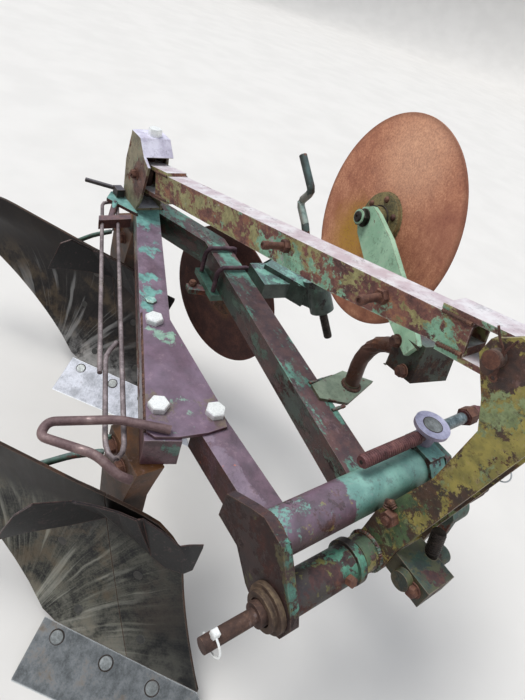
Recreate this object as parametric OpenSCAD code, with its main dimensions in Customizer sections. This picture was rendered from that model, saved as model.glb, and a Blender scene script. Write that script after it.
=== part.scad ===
// Two-furrow mounted mouldboard plough, parked on its shares and landsides.
// X is the direction of travel, Y points to the left, Z is up, all in millimetres.
// The working datum is the axis of the cross shaft, straight above the ground line.

/* [Frame] */
// Side of the square frame tube
tube = 75; // [60:1:85]
// Wall of the frame tube
tube_wall = 6; // [4:1:10]
// Height of the frame's top face above the ground
frame_top = 670; // [630:1:720]
// Angle of the main beam to the direction of travel
beam_skew = 21.8; // [18:0.1:25]
// Length of the main beam
main_len = 1040; // [980:1:1080]
// Main beam's front end behind the cross shaft
main_back = 341; // [320:1:360]
// Main beam's front end to the right of the working datum
main_side = 383; // [375:1:392]
// Length of the front beam
front_len = 262; // [250:1:280]
// Front beam's middle line to the right of the working datum
front_side = 270; // [265:1:274]
// Diameter of the cross tube
cross_d = 88; // [76:1:95]
// Cross tube's axis behind the cross shaft
cross_back = 78; // [76:1:86]
// Cross tube's axis above the frame's top face
cross_rise = 13; // [6:1:20]
// Thickness of the gusset and the bracket plates
plate = 8; // [6:1:12]
// Thickness of the bearing end plate
end_plate = 20; // [14:1:24]

/* [Hitch] */
// Height of the cross shaft above the ground
shaft_z = 592; // [580:1:604]
// Diameter of the cross shaft
shaft_d = 50; // [44:1:54]
// Outer diameter of the sleeves on the shaft
sleeve_d = 76; // [70:1:80]
// Diameter of the lower link pins
link_pin_d = 28; // [22:0.5:32]
// Length of a lower link pin outside its shoulder
link_pin_len = 102; // [90:1:120]
// Distance between the shoulders of the lower link pins
shoulder_span = 683; // [670:1:700]
// Middle of the hitch to the right of the working datum
hitch_side = 20; // [15:1:25]
// Height of the top link pin above the cross shaft
mast_h = 502; // [480:1:520]
// Clear gap between the mast's two side plates
mast_gap = 100; // [96:1:110]
// Thickness of the mast's side plates
mast_plate = 15; // [12:1:18]
// Diameter of the top link hole
top_link_d = 26; // [19:0.5:28]

/* [Top brace] */
// Height of the brace tube
brace_h = 70; // [60:1:80]
// Width of the brace tube
brace_w = 60; // [50:1:70]
// Wall of the brace tube
brace_wall = 5; // [4:1:8]
// Height of the brace's rear end above the ground, on its middle line
brace_rear_z = 798; // [790:1:804]
// Height of the brace's front end above the ground, on its middle line
brace_front_z = 1064; // [1058:1:1068]

/* [Bodies] */
// Distance from body to body along the direction of travel
body_pitch = 876; // [850:1:900]
// Width of one furrow
furrow_w = 351; // [345:1:360]
// Front share's point ahead of the cross shaft
point_ahead = 150; // [140:1:160]
// Landside plane of the front body to the right of the working datum
land_side = 340; // [335:1:345]
// Angle of the share's edge to the direction of travel
share_angle = 40; // [36:1:44]
// Width of the share from its edge to the mouldboard, on the ground
share_run = 134; // [120:1:145]
// Rise of the share from its edge to the mouldboard
share_rise = 60; // [50:1:66]
// Length of the share along its edge
share_len = 557; // [520:1:575]
// Thickness of share, mouldboard and shin
skin = 9; // [7:1:11]
// Height of the mouldboard's curl above the share
curl_h = 420; // [400:1:440]
// How far the mouldboard leans back over that height
curl_w = 133; // [120:1:145]
// Length of the mouldboard along the furrow slice
wing_len = 850; // [780:1:880]
// Width of the shin piece along the furrow slice
shin_w = 190; // [160:1:220]
// Length of the landside
landside_len = 420; // [380:1:450]
// Height of the landside
landside_h = 95; // [80:1:110]

/* [Disc coulters] */
// Diameter of the disc blades
disc_d = 480; // [420:1:490]
// Thickness of the disc blades
disc_t = 5; // [4:1:7]
// Diameter of the hub flange
hub_d = 130; // [110:1:140]
// Diameter of the coulter stems
stem_d = 38; // [30:1:42]
// Running gap between the hub and its axle bolt
run_gap = 0.05; // [0.02:0.01:0.09]

/* [Hidden] */

$fn = 48;
gap = 0.3;
// Working datum as seen from the part's origin, which lies under the middle of the whole plough
home_shift = [814, 238, 0];
frame_mid = frame_top - tube / 2;
under = frame_top - tube;
main_front = [-main_back, -main_side];
body_shift = [-body_pitch, furrow_w, 0];
cross_z = frame_top + cross_rise;
hitch_y = -hitch_side;
shoulder = shoulder_span / 2;
mast_z = shaft_z + mast_h;
mast_out = mast_gap / 2 + mast_plate;

// A point on the main beam: distance behind its front end, distance to the left of its middle line
function on_main(s, w = 0) = [
    main_front[0] - s * cos(beam_skew) + w * sin(beam_skew),
    main_front[1] + s * sin(beam_skew) + w * cos(beam_skew)];

// General pieces
module rod(p, q, d) {
    v = q - p;
    len = norm(v);
    translate(p) rotate([0, acos(v[2] / len), atan2(v[1], v[0])]) cylinder(h = len, d = d);
}

// A route with each inner corner rounded off by a short curve of three points
function unit(v) = v / norm(v);
function rounded(points, r) = [for (i = [0:len(points) - 1])
    let (p = points[i])
    each i == 0 || i == len(points) - 1 ? [p] :
        let (a = p + r * unit(points[i - 1] - p), b = p + r * unit(points[i + 1] - p))
        [a, (a + 2 * p + b) / 4, b]];

// A bent round bar along a route
bar_sides = 10;
bar_side = unit([1, 2, 3]);
module bent_bar(points, d, r = 20) {
    path = rounded(points, r);
    n = len(path);
    rings = [for (i = [0:n - 1])
        let (t = unit(path[min(n - 1, i + 1)] - path[max(0, i - 1)]), a = unit(cross(t, bar_side)),
            b = cross(t, a))
        each [for (k = [0:bar_sides - 1])
            path[i] + d / 2 * (cos(360 * k / bar_sides) * a + sin(360 * k / bar_sides) * b)]];
    sides = [for (i = [0:n - 2]) for (k = [0:bar_sides - 1])
        let (p = i * bar_sides + k, q = i * bar_sides + (k + 1) % bar_sides)
        each [[p, q + bar_sides, q], [p, p + bar_sides, q + bar_sides]]];
    first = [for (k = [0:bar_sides - 1]) k];
    last = [for (k = [0:bar_sides - 1]) n * bar_sides - 1 - k];
    polyhedron(rings, concat(sides, [first, last]), convexity = 8);
}

module along(p, yaw = 0, pitch = 0) {
    translate(p) rotate([0, -pitch, yaw]) children();
}

module box_tube(len, h, w, wall) {
    difference() {
        translate([0, -w / 2, -h / 2]) cube([len, w, h]);
        translate([-1, -w / 2 + wall, -h / 2 + wall]) cube([len + 2, w - 2 * wall, h - 2 * wall]);
    }
}

// A plate in the upright plane along travel, from outline points [x, z]
module side_plate(points, y, t) {
    translate([0, y + t, 0]) rotate([90, 0, 0]) linear_extrude(t) polygon(points);
}

module flat_plate(points, z, t) {
    translate([0, 0, z]) linear_extrude(t) polygon(points);
}

module cross_bore(x, y, z, d, len) {
    translate([x, y - len / 2, z]) rotate([-90, 0, 0]) cylinder(h = len, d = d);
}

// Frame
module main_beam() {
    color("#5d4a4e") along([main_front[0], main_front[1], frame_mid], 180 - beam_skew) union() {
        box_tube(main_len, tube, tube, tube_wall);
        translate([0, -tube / 2, -tube / 2]) cube([tube_wall, tube, tube]);
    }
}

gusset_rear = 400;
gusset_z = frame_top + gap;
gusset_outline = [
    on_main(gusset_rear, -tube / 2 + 6), on_main(18, -tube / 2 + 4), on_main(4, -tube / 2 + 20),
    on_main(4, tube / 2 - 8), [-main_back + 18, -front_side - 24], [-main_back + 18, -front_side + 22],
    [-main_back - 32, -front_side + 38], on_main(gusset_rear - 20, tube / 2 - 4)];
module gusset_plate() {
    color("#6a4a50") flat_plate(gusset_outline, gusset_z, plate);
}

front_x0 = -main_back - 20;
module front_beam() {
    color("#6e4038") difference() {
        translate([front_x0, -front_side, frame_mid]) box_tube(front_len, tube, tube - 5, tube_wall);
        translate(concat(on_main(0, tube / 2 + gap), 0)) rotate([0, 0, 180 - beam_skew])
            translate([-300, 0, 0]) cube([600, 300, 1000]);
        cross_bore(-cross_back, -front_side, cross_z, cross_d + 2 * gap, 200);
    }
}

bearing_y = -front_side - (tube - 5) / 2 - gap;
bearing_outline = [
    [-190, under + 2], [-190, frame_top - 2], [-cross_back - 47, cross_z + 32], [-cross_back - 14,
        cross_z + 52],
    [-cross_back + 42, cross_z + 48], [38, shaft_z + 44], [54, shaft_z + 12], [46, shaft_z - 36],
    [18, shaft_z - 58], [-26, shaft_z - 60], [-66, shaft_z - 44], [-120, under + 2]];
module bearing_plate() {
    color("#7a4a36") difference() {
        side_plate(bearing_outline, bearing_y - end_plate, end_plate);
        cross_bore(0, bearing_y, shaft_z, shaft_d + 2 * gap, 200);
    }
}

cross_y0 = bearing_y + gap;
cross_y1 = 127;
module cross_tube() {
    color("#5aa898") translate([-cross_back, cross_y0, cross_z]) rotate([-90, 0, 0]) difference() {
        cylinder(h = cross_y1 - cross_y0, d = cross_d);
        translate([0, 0, -1]) cylinder(h = cross_y1 - cross_y0 - tube_wall, d = cross_d - 2 * tube_wall);
    }
}

bend = [-1023, 115];
diag_rear = [-1262, 20];
diag_foot = [-90, -34];
function heading(p, q) = atan2(q[1] - p[1], q[0] - p[0]);
function side_of(angle) = [-sin(angle), cos(angle)];
rear_side = side_of(heading(diag_rear, bend));
fore_side = side_of(heading(bend, diag_foot));
mitre = (rear_side + fore_side) / (1 + rear_side * fore_side);
module diagonal_band(w, h) {
    translate([0, 0, frame_mid - h / 2]) linear_extrude(h) polygon([
        diag_rear + w * rear_side, bend + w * mitre, diag_foot + w * fore_side,
        diag_foot - w * fore_side, bend - w * mitre, diag_rear - w * rear_side]);
}
diag_short = 20;
module diagonal_beam() {
    color("#4f7c6c") difference() {
        diagonal_band(tube / 2, tube);
        diagonal_band(tube / 2 - tube_wall, tube - 2 * tube_wall);
        translate([-cross_back, 0, cross_z]) rotate([90, 0, 0]) cylinder(h = 900,
            d = cross_d + 2 * gap, center = true);
        translate([-cross_back - diag_short, -300, 0]) cube([300, 600, 1200]);
        translate(concat(on_main(0, tube / 2 + gap), 0)) rotate([0, 0, 180 - beam_skew])
            translate([-100, 0, 0]) cube([main_len + 400, 300, 1000]);
    }
}

// Hitch
module cross_shaft() {
    color("#6b5a48") union() {
        cross_bore(0, hitch_y, shaft_z, shaft_d, shoulder_span - 40);
        for (s = [-1, 1]) {
            cross_bore(0, hitch_y + s * (shoulder - 12), shaft_z, shaft_d - 4, 24);
            cross_bore(0, hitch_y + s * (shoulder + link_pin_len / 2), shaft_z, link_pin_d, link_pin_len);
        }
    }
}

module ring(y, len, od) {
    difference() {
        cross_bore(0, y + len / 2, shaft_z, od, len);
        cross_bore(0, y + len / 2, shaft_z, shaft_d + 2 * gap, len + 2);
    }
}

collar_y = -147;
mast_sleeve_y = -122;
mast_sleeve_len = 200;
module shaft_sleeve() {
    color("#5f6d4a") union() {
        ring(cross_y0, collar_y - cross_y0, sleeve_d);
        ring(collar_y, 18, sleeve_d + 16);
    }
}

module right_bearing() {
    color("#7a5a3c") union() {
        ring(bearing_y - end_plate - gap - 12, 12, 92);
        ring(bearing_y - end_plate - gap - 24, 12, 74);
    }
}

left_bearing_y = 190;
module left_bearing() {
    color("#4f7c6c") difference() {
        union() {
            side_plate([
                [-cross_back - 52, cross_z - 30], [-cross_back - 30, cross_z + 46], [-cross_back + 30,
                    cross_z + 46],
                [44, shaft_z + 34], [50, shaft_z - 26], [20, shaft_z - 52], [-30, shaft_z - 50]],
                cross_y1 + gap, end_plate);
            cross_bore(0, cross_y1 + gap + 40, shaft_z, sleeve_d + 10, 80);
        }
        cross_bore(0, left_bearing_y, shaft_z, shaft_d + 2 * gap, 400);
    }
}

top_link_x = 62;
mast_outline = [
    [-33, shaft_z + 8], [-31, shaft_z + 98], [14, shaft_z + 266], [21, mast_z - 106], [-4, mast_z - 60],
    [-46, mast_z - 5], [-43, mast_z + 24], [-10, mast_z + 53],
    [top_link_x + 14, mast_z + 55], [top_link_x + 38, mast_z + 16], [top_link_x + 32, mast_z - 60],
    [44, shaft_z + 70], [44, shaft_z]];
brace_pin_d = 24;
brace_pin_x = -20;
brace_pin_z = 1102;
module mast_side(y, bore_d) {
    difference() {
        side_plate(mast_outline, y, mast_plate);
        cross_bore(0, y, shaft_z, bore_d + 2 * gap, 200);
        cross_bore(brace_pin_x, y, brace_pin_z, brace_pin_d + 2 * gap, 200);
        cross_bore(top_link_x, y, mast_z, top_link_d, 200);
    }
}
module mast_right() {
    color("#8a8f4a") union() {
        mast_side(hitch_y - mast_out, shaft_d);
        ring(mast_sleeve_y, mast_sleeve_len, sleeve_d);
    }
}
module mast_left() {
    color("#7d8548") mast_side(hitch_y + mast_gap / 2, sleeve_d);
}
module mast_spacer() {
    color("#6b5a48") cross_bore(38, hitch_y, shaft_z + 230, 34, mast_gap - 2 * gap);
}

brace_y = hitch_y;
vertical_d = 22;
brace_x0 = -1160;
brace_x1 = -81;
brace_pitch = atan2(brace_front_z - brace_rear_z, brace_x1 - brace_x0);
module brace_frame(x, dz) {
    translate([x, brace_y, brace_rear_z + (x - brace_x0) * tan(brace_pitch) + dz]) rotate([0,
        -brace_pitch, 0]) children();
}
// Fork on the brace's front end: undersides of its plates over the middle line, their thickness and reach
fork_top = 38;
fork_low = -32;
fork_t = 10;
fork_reach = 120;
fork_pin = 96;
block_from = 42;
block_half = mast_gap / 2 - 8;
module swivel_block() {
    color("#54463c") difference() {
        brace_frame(brace_x1, 0) translate([block_from, -block_half, fork_low + fork_t + gap])
            cube([fork_reach - block_from, 2 * block_half, fork_top - fork_low - fork_t - 2 * gap]);
        cross_bore(brace_pin_x, brace_y, brace_pin_z, brace_pin_d + 2 * gap, 200);
        brace_frame(brace_x1, 0) translate([fork_pin, 0, -100]) cylinder(h = 200,
            d = vertical_d + 2 * gap);
    }
}

rear_pin_x = -1264;
rear_pin_low = 704;
bracket_top = 892;
module brace_pins() {
    color("#4e4038") union() {
        cross_bore(brace_pin_x, hitch_y, brace_pin_z, brace_pin_d, 2 * mast_out + 20);
        cross_bore(brace_pin_x, hitch_y - mast_out - 9 - gap, brace_pin_z, brace_pin_d + 5, 18);
        brace_frame(brace_x1, 0) translate([fork_pin, 0,
            fork_low - 26]) cylinder(h = fork_top + fork_t - fork_low + 30, d = vertical_d);
        brace_frame(brace_x1, 0) translate([fork_pin, 0, fork_top + fork_t + gap]) cylinder(h = 12,
            d = 34);
        translate([rear_pin_x, brace_y, rear_pin_low]) cylinder(h = bracket_top + 20 - rear_pin_low,
            d = vertical_d);
        translate([rear_pin_x, brace_y, bracket_top + plate + gap]) cylinder(h = 10, d = 34);
    }
}

brace_len = (brace_x1 - brace_x0) / cos(brace_pitch);
// The tube's underside rises towards its front end
taper_len = 320;
taper_rise = 18;
module tapered_tube() {
    half = brace_h / 2;
    outer = [[0, -half], [brace_len - taper_len, -half], [brace_len, taper_rise - half], [brace_len,
        half], [0, half]];
    wall = brace_wall;
    inner = [[-1, wall - half], [brace_len - taper_len, wall - half], [brace_len + 1,
        taper_rise + wall - half],
        [brace_len + 1, half - wall], [-1, half - wall]];
    difference() {
        side_plate(outer, -brace_w / 2, brace_w);
        side_plate(inner, wall - brace_w / 2, brace_w - 2 * wall);
    }
}
module top_brace() {
    color("#8b7a48") difference() {
        union() {
            brace_frame(brace_x0, 0) tapered_tube();
            for (z = [brace_h / 2 - 2, -brace_h / 2 - 10]) brace_frame(brace_x0, 0) translate([-128,
                -32, z])
                cube([208, 62, 12]);
            brace_frame(brace_x1, 0) translate([-44, -brace_w / 2, brace_h / 2 - 1])
                cube([44, brace_w, fork_top - brace_h / 2 + 2]);
            brace_frame(brace_x1, 0) translate([-60, -brace_w / 2, fork_top]) cube([60 + fork_reach,
                brace_w, fork_t]);
            brace_frame(brace_x1, 0) translate([-52, -brace_w / 2, fork_low + fork_t - 1])
                cube([52, brace_w, brace_h / 2 - taper_rise]);
            brace_frame(brace_x1, 0) translate([-52, -brace_w / 2, fork_low]) cube([52 + fork_reach,
                brace_w, fork_t]);
        }
        brace_frame(brace_x1, 0) translate([fork_pin, 0, -100]) cylinder(h = 200,
            d = vertical_d + 2 * gap);
        translate([rear_pin_x, brace_y, rear_pin_low - 50]) cylinder(h = 200, d = vertical_d + 2 * gap);
    }
}

bracket_fold = -1238;
bracket_lip = 858;
bracket_left = [[-1316, frame_top + gap], [-1322, 850], [-1298, bracket_top + plate], [bracket_fold,
    bracket_top + plate],
    [-1226, 830], [-1222, frame_top + gap]];
bracket_right = [[-1316, frame_top + gap], [-1322, 800], [-1298, bracket_top + plate], [bracket_fold,
    bracket_top + plate],
    [bracket_fold + 38, bracket_lip], [-1164, 842], [-1190, 726], [-1222, frame_top + gap]];
module rear_bracket() {
    color("#8a8468") difference() {
        union() {
            side_plate(bracket_right, -78, plate);
            side_plate(bracket_left, 12, plate);
            translate([-1318, -72, frame_top + gap]) cube([plate, 88, 128]);
            translate([-1306, -72, 780]) cube([plate, 88, bracket_top - 778]);
            translate([-1314, -72, 780]) cube([12, 88, plate]);
            translate([-1316, -72, frame_top + gap]) cube([90, 88, plate]);
            flat_plate([[-1300, -78], [-1306, -60], [-1306, -20], [-1290, 20], [bracket_fold, 20],
                [bracket_fold, -78]], bracket_top, plate);
            side_plate([[bracket_fold, bracket_top], [bracket_fold, bracket_top + plate],
                [bracket_fold + 38, bracket_lip],
                [bracket_fold + 31, bracket_lip - 4]], -78, 98);
        }
        translate([rear_pin_x, brace_y, bracket_top - 40]) cylinder(h = 100, d = vertical_d + 2 * gap);
    }
}

// Adjusters
screw_x = -104;
screw_z = 757;
screw_d = 24;
screw_from = -95;
screw_len = 396;
module width_screw() {
    color("#5d4038") union() {
        cross_bore(screw_x, screw_from + screw_len / 2, screw_z, screw_d, screw_len);
        cross_bore(screw_x, 262, screw_z, 34, 50);
    }
}
trunnion_y = 104;
trunnion_seat = cross_z + cross_d / 2 + 10;
module screw_trunnion() {
    color("#7a8288") union() {
        difference() {
            translate([screw_x, trunnion_y, trunnion_seat + gap]) cylinder(h = 42, d = 44);
            cross_bore(screw_x, trunnion_y, screw_z, screw_d + 2 * gap, 100);
        }
        translate([screw_x, trunnion_y, trunnion_seat + 40]) cylinder(h = 9, d = 78);
    }
}
module trunnion_bracket() {
    color("#4f9484") translate([-cross_back, cross_y1 - 52, cross_z]) rotate([-90, 0, 0]) difference() {
        union() {
            cylinder(h = 50, d = cross_d + 16);
            translate([-52, -cross_d / 2 - 10, 0]) cube([78, 24, 50]);
        }
        translate([0, 0, -1]) cylinder(h = 52, d = cross_d + 2 * gap);
    }
}

level_x = 84;
module level_screw() {
    color("#3c3430") union() {
        rod([level_x - 22, -6, 706], [level_x + 24, -22, 560], 26);
    }
}
module level_bracket() {
    color("#5d6a4c") difference() {
        union() {
            translate([44 + gap, hitch_y - mast_out + 4, 606]) cube([88, 76, 50]);
            cross_bore(level_x, hitch_y - 12, 632, 40, mast_gap + 30);
        }
        rod([level_x - 22, -6, 706], [level_x + 24, -22, 560], 26 + 2 * gap);
    }
}
loop_z = 660;
handle_z = 698;
rod_d = 11;
rod_slope = 0.374;
loop_rear = -1302;
rod_stop = -564;
hook_x = -613;
// The two runs of the rod, to the right of the working datum, by their distance behind it
function near_rod(x) = -134 - rod_slope * (x + 1216);
function hook_rod(x) = -397 - rod_slope * (x - hook_x);
function far_rod(x) = hook_rod(x) - (rod_d + 2 * gap) / cos(atan(rod_slope));
module rod_loop() {
    color("#6a4a44") bent_bar([[rod_stop, far_rod(rod_stop), loop_z], [loop_rear, far_rod(loop_rear),
        loop_z],
        [loop_rear, near_rod(loop_rear), loop_z], [-348, near_rod(-348), loop_z], [-336, -486, loop_z],
        [-376, hook_rod(-376), loop_z], [hook_x, hook_rod(hook_x), loop_z],
        [hook_x - 34, near_rod(hook_x - 34) - rod_d, loop_z]], rod_d);
}
hand_d = 18;
module hand_loop() {
    color("#5e4240") bent_bar([
        [-349, -366, frame_top + plate + gap + hand_d / 2], [-405, -450, 690], [-452, -570, 676],
            [-436, -584, 668],
        [-352, -512, 676], [-314, -484, 648], [-304, -462, 634]], hand_d);
}
loop_plate_y = -78 - gap;
// Cross block that holds the two runs of the rod
clamp_x = -1180;
clamp_half = 14;
clamp_corners = [
    [-clamp_half, far_rod(clamp_x - clamp_half) - 11], [clamp_half, far_rod(clamp_x + clamp_half) - 11],
    [clamp_half, near_rod(clamp_x + clamp_half) + 42], [-clamp_half,
        near_rod(clamp_x - clamp_half) + 42]];
module loop_bracket() {
    color("#4f8a78") difference() {
        union() {
            flat_plate([[-1344, loop_plate_y], [-1336, -112], [-1294, -142], [-1191, loop_plate_y - 6],
                [-1191, loop_plate_y]], frame_top + gap, 10);
            flat_plate([for (c = clamp_corners) [clamp_x + c[0], c[1]]], loop_z - 15, 30);
            rod([clamp_x, (near_rod(clamp_x) + far_rod(clamp_x)) / 2, loop_z + 2], [-1266, -124,
                frame_top + 6], 20);
            rod([-1384, -180, handle_z], [-1318, -94, handle_z], 14);
            translate([-1326, -110, frame_top + 6]) cube([36, 26, handle_z - frame_top + 4]);
        }
        rod([clamp_x - 40, near_rod(clamp_x - 40), loop_z], [clamp_x + 40, near_rod(clamp_x + 40),
            loop_z], rod_d + 2 * gap);
        rod([clamp_x - 40, far_rod(clamp_x - 40), loop_z], [clamp_x + 40, far_rod(clamp_x + 40),
            loop_z], rod_d + 2 * gap);
    }
}

// Bodies, each from its share's point, which lies on the ground in the landside plane
curl_z0 = share_rise;
share_back = share_run / sin(share_angle);
function curl_t(z) = min(1, max(0, (z - curl_z0) / curl_h));
function turn(z) = share_angle - 2 - 17.6 * curl_t(z) * (1 - curl_t(z)) + 5 * curl_t(z);
function lean(z) = curl_w * (1 - pow(1 - curl_t(z), 2)) / sin(share_angle - 1);
function slice_point(u, z) = [
    -share_back + 26 - lean(z) - u * cos(turn(z)),
    -u * sin(turn(z)), z];
function slice_normal(u, z) = unit(cross(
    slice_point(u, z + 2) - slice_point(u, z - 2),
    slice_point(u + 2, z) - slice_point(u - 2, z)));
wing_start = 416;
function low_edge(u) = curl_z0 + (u > wing_start ? 2.79 * pow(u - wing_start, 0.77) : 0);
function high_edge(u) = u < 90 ? 375 + 75 * sin(u) :
    433 + 0.19 * u - (u > 560 ? 150 * pow((u - 560) / (wing_len - 560), 2) : 0);

// A patch of the mouldboard's surface, from u0 to u1 along the slice, between two depths behind it
module patch(u0, u1, nu, nz, d0, d1, low, high) {
    us = [for (i = [0:nu]) u0 + (u1 - u0) * i / nu];
    front = [for (u = us) for (j = [0:nz])
        let (z = low[0] < 0 ? low_edge(u) + (high_edge(u) - low_edge(u)) * j / nz :
            low[0] + (high[0] - low[0]) * j / nz)
        [u, z]];
    m = len(front);
    row = nz + 1;
    points = concat(
        [for (p = front) slice_point(p[0], p[1]) - d0 * slice_normal(p[0], p[1])],
        [for (p = front) slice_point(p[0], p[1]) - d1 * slice_normal(p[0], p[1])]);
    sheet = [for (i = [0:nu - 1]) for (j = [0:nz - 1])
        each [[i * row + j, (i + 1) * row + j, (i + 1) * row + j + 1],
              [i * row + j, (i + 1) * row + j + 1, i * row + j + 1]]];
    rear = [for (f = sheet) [f[0] + m, f[2] + m, f[1] + m]];
    rim = concat(
        [for (i = [0:nu]) i * row], [for (j = [1:nz]) nu * row + j],
        [for (i = [1:nu]) (nu - i) * row + nz], [for (j = [1:nz - 1]) nz - j]);
    n = len(rim);
    wall = [for (k = [0:n - 1]) let (a = rim[k], b = rim[(k + 1) % n]) each [[a, b + m, b], [a, a + m,
        b + m]]];
    polyhedron(points, concat(sheet, rear, wall), convexity = 6);
}

module at_body(n) {
    translate([point_ahead, -land_side, 0] + n * body_shift) children();
}

module mouldboard() {
    patch(shin_w + 1, wing_len, 20, 10, 0, skin, [-1], [-1]);
}
module shin() {
    patch(0, shin_w, 6, 10, 0, skin, [-1], [-1]);
}

// Share: its top runs from the cutting edge on the ground up to the mouldboard's lower edge
share_nose = 26;
share_cut = unit([-cos(share_angle), -sin(share_angle), 0]);
share_in = [-sin(share_angle), cos(share_angle), 0];
module share() {
    tip = [0, 0, 0];
    wing = share_len * share_cut;
    wing_back = slice_point(wing_start, share_rise) + [0, 0, -gap];
    land_back = slice_point(0, share_rise) + [0, 0, -gap];
    drop = [0, 0, -skin - 2];
    points = [tip, wing, wing_back, land_back,
        tip + [-share_nose / sin(share_angle), 0, 0], wing + share_nose * share_in, wing_back + drop,
            land_back + drop];
    polyhedron(points, [[0, 1, 2], [0, 2, 3], [4, 6, 5], [4, 7, 6], [0, 5, 1], [0, 4, 5],
        [1, 5, 6], [1, 6, 2], [2, 6, 7], [2, 7, 3], [0, 3, 7], [0, 7, 4]]);
}

// Leg: a curved upright plate under the beam, its foot standing on the frog
leg_y = -33;
leg_w = 60;
leg_foot = 66;
leg_front = [[-480, under - gap], [-500, 520], [-520, 440], [-524, 330], [-508, 250], [-476, 200],
    [-412, 116],
    [-400, leg_foot + gap]];
leg_rear = [[-540, leg_foot + gap], [-600, 200], [-636, 330], [-640, 440], [-620, under - gap]];
module leg() {
    translate([0, leg_y, 0]) rotate([90, 0, 0]) linear_extrude(leg_w) polygon(concat(leg_front,
        leg_rear));
}

module frog() {
    patch(20, 165, 4, 5, skin + gap, skin + 20, [curl_z0 + 4], [250]);
    translate([0, 0, 12]) linear_extrude(leg_foot - 12) polygon([[-262, -14 - gap], [-560, -14 - gap],
        [-560, -100], [-372, -100]]);
}

land_nose = 236;
module landside() {
    translate([0, -2, 0]) rotate([90, 0, 0]) linear_extrude(12)
        polygon([[-land_nose, 0], [-land_nose - 40, 34], [-land_nose - 80, landside_h],
            [-land_nose - landside_len + 20, landside_h],
            [-land_nose - landside_len, landside_h - 24], [-land_nose - landside_len, 0]]);
}

// Trash board: a bent plate whose lower edge lies on the face of shin and mouldboard
function on_face(u, z, d) = slice_point(u, z) + d * slice_normal(u, z);
board_lift = 6.2;
board_low = [[-378, 51, 371], [-352, 16, 346], [-357, -4, 336], on_face(40, 322, board_lift + 1),
    on_face(75, 335, board_lift),
    on_face(100, 350, board_lift), on_face(145, 375, board_lift), on_face(185, 395, board_lift),
    [-518, -205, 432], [-528, -290, 448], [-532, -345, 453]];
board_high = [[-380, 52, 378], [-384, 12, 402], [-386, -12, 412], on_face(50, 430, board_lift + 1),
    on_face(97, 448, board_lift + 1),
    [-456, -88, 464], [-478, -122, 484], [-500, -162, 500],
    [-520, -205, 515], [-509, -282, 569], [-503, -316, 562]];
module trash_board() {
    n = len(board_low);
    back = [-4, 3, 2];
    points = concat(board_low, board_high, [for (p = board_low) p + back],
        [for (p = board_high) p + back]);
    faces = [for (i = [0:n - 2]) each [
        [i, i + 1, i + 1 + n], [i, i + 1 + n, i + n],
        [i + 2 * n, i + 1 + 3 * n, i + 1 + 2 * n], [i + 2 * n, i + 3 * n, i + 1 + 3 * n],
        [i, i + 1 + 2 * n, i + 1], [i, i + 2 * n, i + 1 + 2 * n],
        [i + n, i + 1 + n, i + 1 + 3 * n], [i + n, i + 1 + 3 * n, i + 3 * n]]];
    ends = [[0, n, 3 * n], [0, 3 * n, 2 * n], [n - 1, 3 * n - 1, 4 * n - 1], [n - 1, 4 * n - 1,
        2 * n - 1]];
    polyhedron(points, concat(faces, ends), convexity = 4);
}

// Stay from the leg to the back of the mouldboard
stay_u = 360;
stay_z = 446;
stay_d = 16;
module stay() {
    from = [-590, leg_y - leg_w - gap - stay_d / 2, 545];
    back = on_face(stay_u, stay_z, -skin - stay_d / 2 - 3);
    bent_bar([from + [-20, 0, 30], from, (from + back) / 2 + [-6, 0, 4], back], stay_d);
}

module front_leg() { color("#7a5230") at_body(0) leg(); }
module rear_leg() { color("#7a5230") at_body(1) leg(); }
module front_frog() { color("#4a443c") at_body(0) frog(); }
module rear_frog() { color("#4a443c") at_body(1) frog(); }
module front_share() { color("#b8bcc0") at_body(0) share(); }
module rear_share() { color("#d4d8dc") at_body(1) share(); }
module front_mouldboard() { color("#6c6f68") at_body(0) mouldboard(); }
module rear_mouldboard() { color("#6c6f68") at_body(1) mouldboard(); }
module front_shin() { color("#5c605c") at_body(0) shin(); }
module rear_shin() { color("#5c605c") at_body(1) shin(); }
module front_trash_board() { color("#4a4a4c") at_body(0) trash_board(); }
module rear_trash_board() { color("#4a4a4c") at_body(1) trash_board(); }
module front_landside() { color("#5a4a40") at_body(0) landside(); }
module rear_landside() { color("#5a4a40") at_body(1) landside(); }
module front_stay() { color("#4c6a5c") at_body(0) stay(); }
module rear_stay() { color("#4c6a5c") at_body(1) stay(); }

// Disc coulters: place of the disc's middle, yaw and tilt of its axle
front_disc_at = [-511, 200, 1024];
front_disc_yaw = 12.7;
front_disc_tilt = -5.8;
rear_disc_at = [-985, 176, 469];
rear_disc_yaw = -11.3;
axle_d = 20;
module on_disc(at, yaw, tilt) {
    translate(at) rotate([0, 0, -yaw]) rotate([tilt, 0, 0]) rotate([-90, 0, 0]) children();
}
// Side is -1 where the hub is on the right of the blade and 1 where it is on the left
module disc(side) {
    difference() {
        union() {
            translate([0, 0, -disc_t / 2]) cylinder(h = disc_t, d = disc_d);
            rotate([side < 0 ? 180 : 0, 0, 0]) {
                cylinder(h = 14, d = hub_d);
                cylinder(h = 34, d = 64);
            }
            rotate([side < 0 ? 0 : 180, 0, 0]) cylinder(h = 10, d = 60);
        }
        translate([0, 0, -60]) cylinder(h = 120, d = axle_d + 2 * run_gap);
    }
}
module arm_end(side) {
    rotate([side < 0 ? 180 : 0, 0, 0]) {
        translate([0, 0, -14]) cylinder(h = 82, d = axle_d);
        translate([0, 0, -20]) cylinder(h = 8, d = 30);
        translate([0, 0, 54]) cylinder(h = 18, d = 34);
    }
}
module front_disc() { color("#b06a3a") on_disc(front_disc_at, front_disc_yaw, front_disc_tilt) disc(-1); }
module rear_disc() { color("#5c3a2c") on_disc(rear_disc_at, rear_disc_yaw, 0) disc(1); }

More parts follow.
